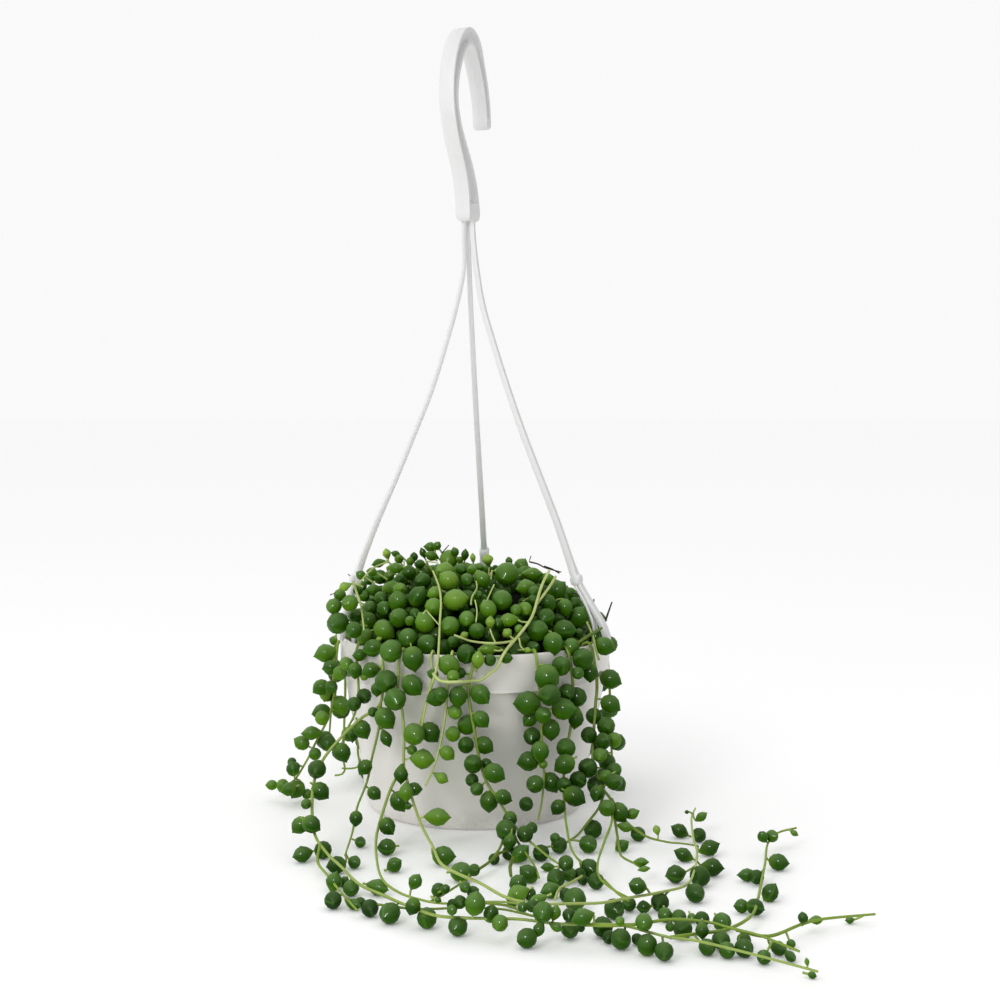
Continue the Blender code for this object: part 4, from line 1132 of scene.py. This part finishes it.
shown = [read_off(entry, entry[6] if len(entry) > 6 else on_mound(entry[0], entry[1]).y) for entry in CROWN]
near_rim = [bead for bead in hung_beads if bead.centre.z > 70.0]
for bead in near_rim:
    bead.fixed = True
settle(near_rim + shown)
# Leaves read off the crown are made paler, which also thickens their painted sheen: painted light on the
# mound's top
for bead in shown:
    bead.tone = min(1.0, bead.tone * 1.1 + 0.05)
scattered = []
for outer_layer, sink, tries in ((True, 0.0, 5200), (False, 6.5, 2600)):
    for _ in range(tries):
        spin, reach = picked.uniform(0.0, 360.0), 68.0 * math.sqrt(picked.uniform(0.0, 1.0))
        height = next((eased(high, low, (reach - near) / (far - near))
                       for (near, high), (far, low) in zip(MOUND, MOUND[1:]) if reach <= far), 84.0)
        height -= 3.5 * (1.0 - reach / 68.0)
        if outer_layer and reach > 58.0 and picked.random() < 0.35:
            reach, height = 69.5, picked.uniform(77.0, 84.0)
        centre = polar(spin, reach, height)
        outward = (centre - heart).normalized()
        radius = picked.uniform(3.6, 4.9) if picked.random() < 0.85 else picked.uniform(2.4, 3.4)
        centre -= outward * (sink + picked.uniform(0.0, 1.5))
        if centre.z < rim_top + radius and 62.5 - radius < math.hypot(centre.x, centre.y) < 66.4 + radius:
            continue
        crowded = 0.93 if outer_layer else 0.86
        if not all((centre - bead.centre).length > (radius + bead.radius) * crowded
                   for bead in near_rim + shown + scattered):
            continue
        axis = outward + Vector([picked.uniform(-lean, lean) for lean in (0.7, 0.7, 0.5)])
        # Leaves of the layer underneath get darker tones: painted shade
        tone = picked.uniform(0.2, 0.52) if outer_layer else picked.uniform(0.1, 0.26)
        bead = Bead(centre, axis, radius, radius * picked.uniform(1.0, 1.12), tone)
        bead.kind = 3
        photographed = outer_layer and centre.y < 0.0 and 334.0 < pixel(centre)[0] < 592.0
        if not above_skyline(bead) and not photographed:
            scattered.append(bead)

sprig = Sprig()
for bead in shown + scattered:
    inward = (heart - bead.centre).normalized()
    set_leaf(sprig, bead, bead.root() + inward * 5.0 - bead.axis * 1.5)


steepest = 2.0


def lying_over(pixels):
    """A stem's route, read off the photograph in pixels, that lies on the leaves behind it."""
    flat = smooth_route([(px, py, 0.0) for px, py in pixels], 3.0)
    depths = []
    for spot in flat:
        y = on_mound(spot.x, spot.y).y
        for bead in shown + near_rim:
            off = math.dist(pixel(bead.centre), (spot.x, spot.y)) * pixel_size(bead.centre.y)
            if off < bead.radius + 1.0:
                y = min(y, bead.centre.y - math.sqrt((bead.radius + 1.0) ** 2 - off ** 2))
        depths.append(y - 0.3)
    windows = [slice(max(0, k - 2), k + 3) for k in range(len(depths))]
    front = [min(depths[window]) for window in windows]
    evened = [sum(front[window]) / len(front[window]) for window in windows]
    for k in range(1, len(evened)):
        evened[k] = min(evened[k], evened[k - 1] + steepest)
    for k in range(len(evened) - 2, -1, -1):
        evened[k] = min(evened[k], evened[k + 1] + steepest)
    return [seen(spot.x, spot.y, y) for spot, y in zip(flat, evened)]


# The stems that lie over the crown: half thickness in pixels at each end, paleness, and the pixels they pass.
# There a pixel spans crown_pixel mm.
crown_pixel = 0.47
over_crown = [
    (1.5, 1.6, .95, [(549, 571), (542, 585), (537, 601), (536, 605), (533, 614), (529, 622), (520, 634),
                     (514, 641), (507, 649), (502, 657), (497, 668), (490, 673), (481, 680), (471, 681),
                     (449, 682), (439, 680), (433, 673)]),
    (1.3, 1.4, .95, [(556, 576), (550, 586), (542, 597), (536, 605)]),
    (1.1, 1.3, .95, [(454, 635), (462, 638), (470, 641), (485, 643), (500, 643), (514, 641)]),
    (1.0, .8, .9, [(529, 622), (522, 622), (518, 620)]), (1.0, .8, .9, [(519, 638), (521, 647), (524, 650)]),
    (.9, .7, .9, [(514, 639), (510, 636)]), (1.0, .8, .9, [(495, 642), (492, 635), (490, 629)]),
    (1.0, .8, .9, [(503, 650), (498, 651), (494, 650)]),
    (1.0, 1.4, .85, [(433, 571), (439, 587), (441, 602), (440, 620), (439, 643), (437, 666), (430, 691),
                     (424, 710), (420, 724)]),
    (1.3, .9, .85, [(353, 581), (357, 594), (361, 606), (364, 630)]),
    (.9, 1.0, .8, [(358, 585), (366, 575), (375, 567), (387, 562), (387, 559)]),
    (.8, .7, .8, [(404, 568), (404, 561)]), (.9, .7, .8, [(426, 561), (438, 563)]),
    (.9, .7, .85, [(426, 610), (433, 618), (439, 625)]), (.8, .7, .8, [(426, 610), (423, 614)]),
    (.8, 1.0, .75, [(476, 581), (477, 588), (472, 597), (471, 605)]),
    (.8, .7, .85, [(475, 600), (477, 611), (476, 622)]), (.9, .6, .85, [(494, 585), (487, 600)]),
    (.7, .7, .85, [(492, 570), (491, 579)]), (1.1, .9, .5, [(592, 611), (594, 599)]),
    (1.5, 1.2, .1, [(579, 642), (591, 634), (602, 628)]),
    (1.2, 1.2, .6, [(587, 622), (593, 637), (596, 650), (599, 660)])]
for start, end, tone, pixels in over_crown:
    sprig.stem(lying_over(pixels), start * crown_pixel, end * crown_pixel, tone)
crown = sprig.grow("crown_leaves")
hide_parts("crown")
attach(crown, "root")


# A few dried stems lie on the crown, mostly at its right side. They are the plant's own old shoots, thin,
# brown and brittle, and lie loose on the leaves.
dry_skin, tree, shader = new_material("dry_skin")
weather = mottle(tree, 300.0, 1600.0, 0.4)
set_inputs(tree, shader, {
    "Base Color": ramp(tree, weather, (0.35, (0.003, 0.002, 0.0015)), (0.55, (0.02, 0.012, 0.006)),
                       (0.72, (0.10, 0.07, 0.03))), "Roughness": 0.85})
dried = Sprig()
dry_stems = [
    (.8, .5, [(442, 553), (449, 545)]), (.9, .6, [(530, 562), (538, 564), (546, 568), (561, 572)]),
    (.7, .9, [(544, 566), (552, 569), (559, 573)]), (.6, .4, [(531, 556), (529, 562)]),
    (.8, .7, [(572, 593), (577, 594), (581, 598)]), (1.3, .8, [(606, 619), (612, 602)]),
    (.5, .5, [(348, 574), (350, 576)]), (.6, .4, [(330, 595), (335, 593)]),
    (.9, .7, [(584, 633), (588, 629), (586, 624)])]
for start, end, pixels in dry_stems:
    dried.stem(lying_over(pixels), start * crown_pixel, end * crown_pixel, 0.3)
dried_bits = dried.grow("dried_bits", dry_skin)
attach(dried_bits, "root")


# The heart of the crown stands for the tangle of old stems under the mound and the shade between the leaves;
# its near-black colour is painted shade, which only shows as the dark between the leaves. It stands on the
# soil, as one rough dome.
painted_shade_heart, tree, shader = new_material("painted_shade_heart")
shadow = mottle(tree, 200.0, 1200.0, 0.5)
# The near-black colour is painted shade
set_inputs(tree, shader, {
    "Base Color": ramp(tree, shadow, (0.4, (0.001, 0.001, 0.001)), (0.7, (0.010, 0.012, 0.005))),
    "Roughness": 1.0, "Specular IOR Level": 0.05})
heart_section = smooth_route([(0.0, 106.0), (18.0, 105.0), (31.0, 102.0), (41.0, 97.5), (48.0, 91.0),
                              (54.0, 84.0), (58.0, 79.0), (58.5, 76.6)], 2.5)
heart_section[0].x = 0.0
core = link_piece("crown_heart", turned("crown_heart", heart_section + [(0.0, 76.6)], 90), painted_shade_heart)
for vertex in core.data.vertices:
    if vertex.co.z > 77.0 * MM:
        vertex.co += vertex.co.normalized() * 1.6 * MM * noise.noise(vertex.co * 220.0)
smooth(core.data, 60.0)
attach(core, "root")


for leaf in list(leaf_shapes.objects):
    bpy.data.objects.remove(leaf)
bpy.data.collections.remove(leaf_shapes)
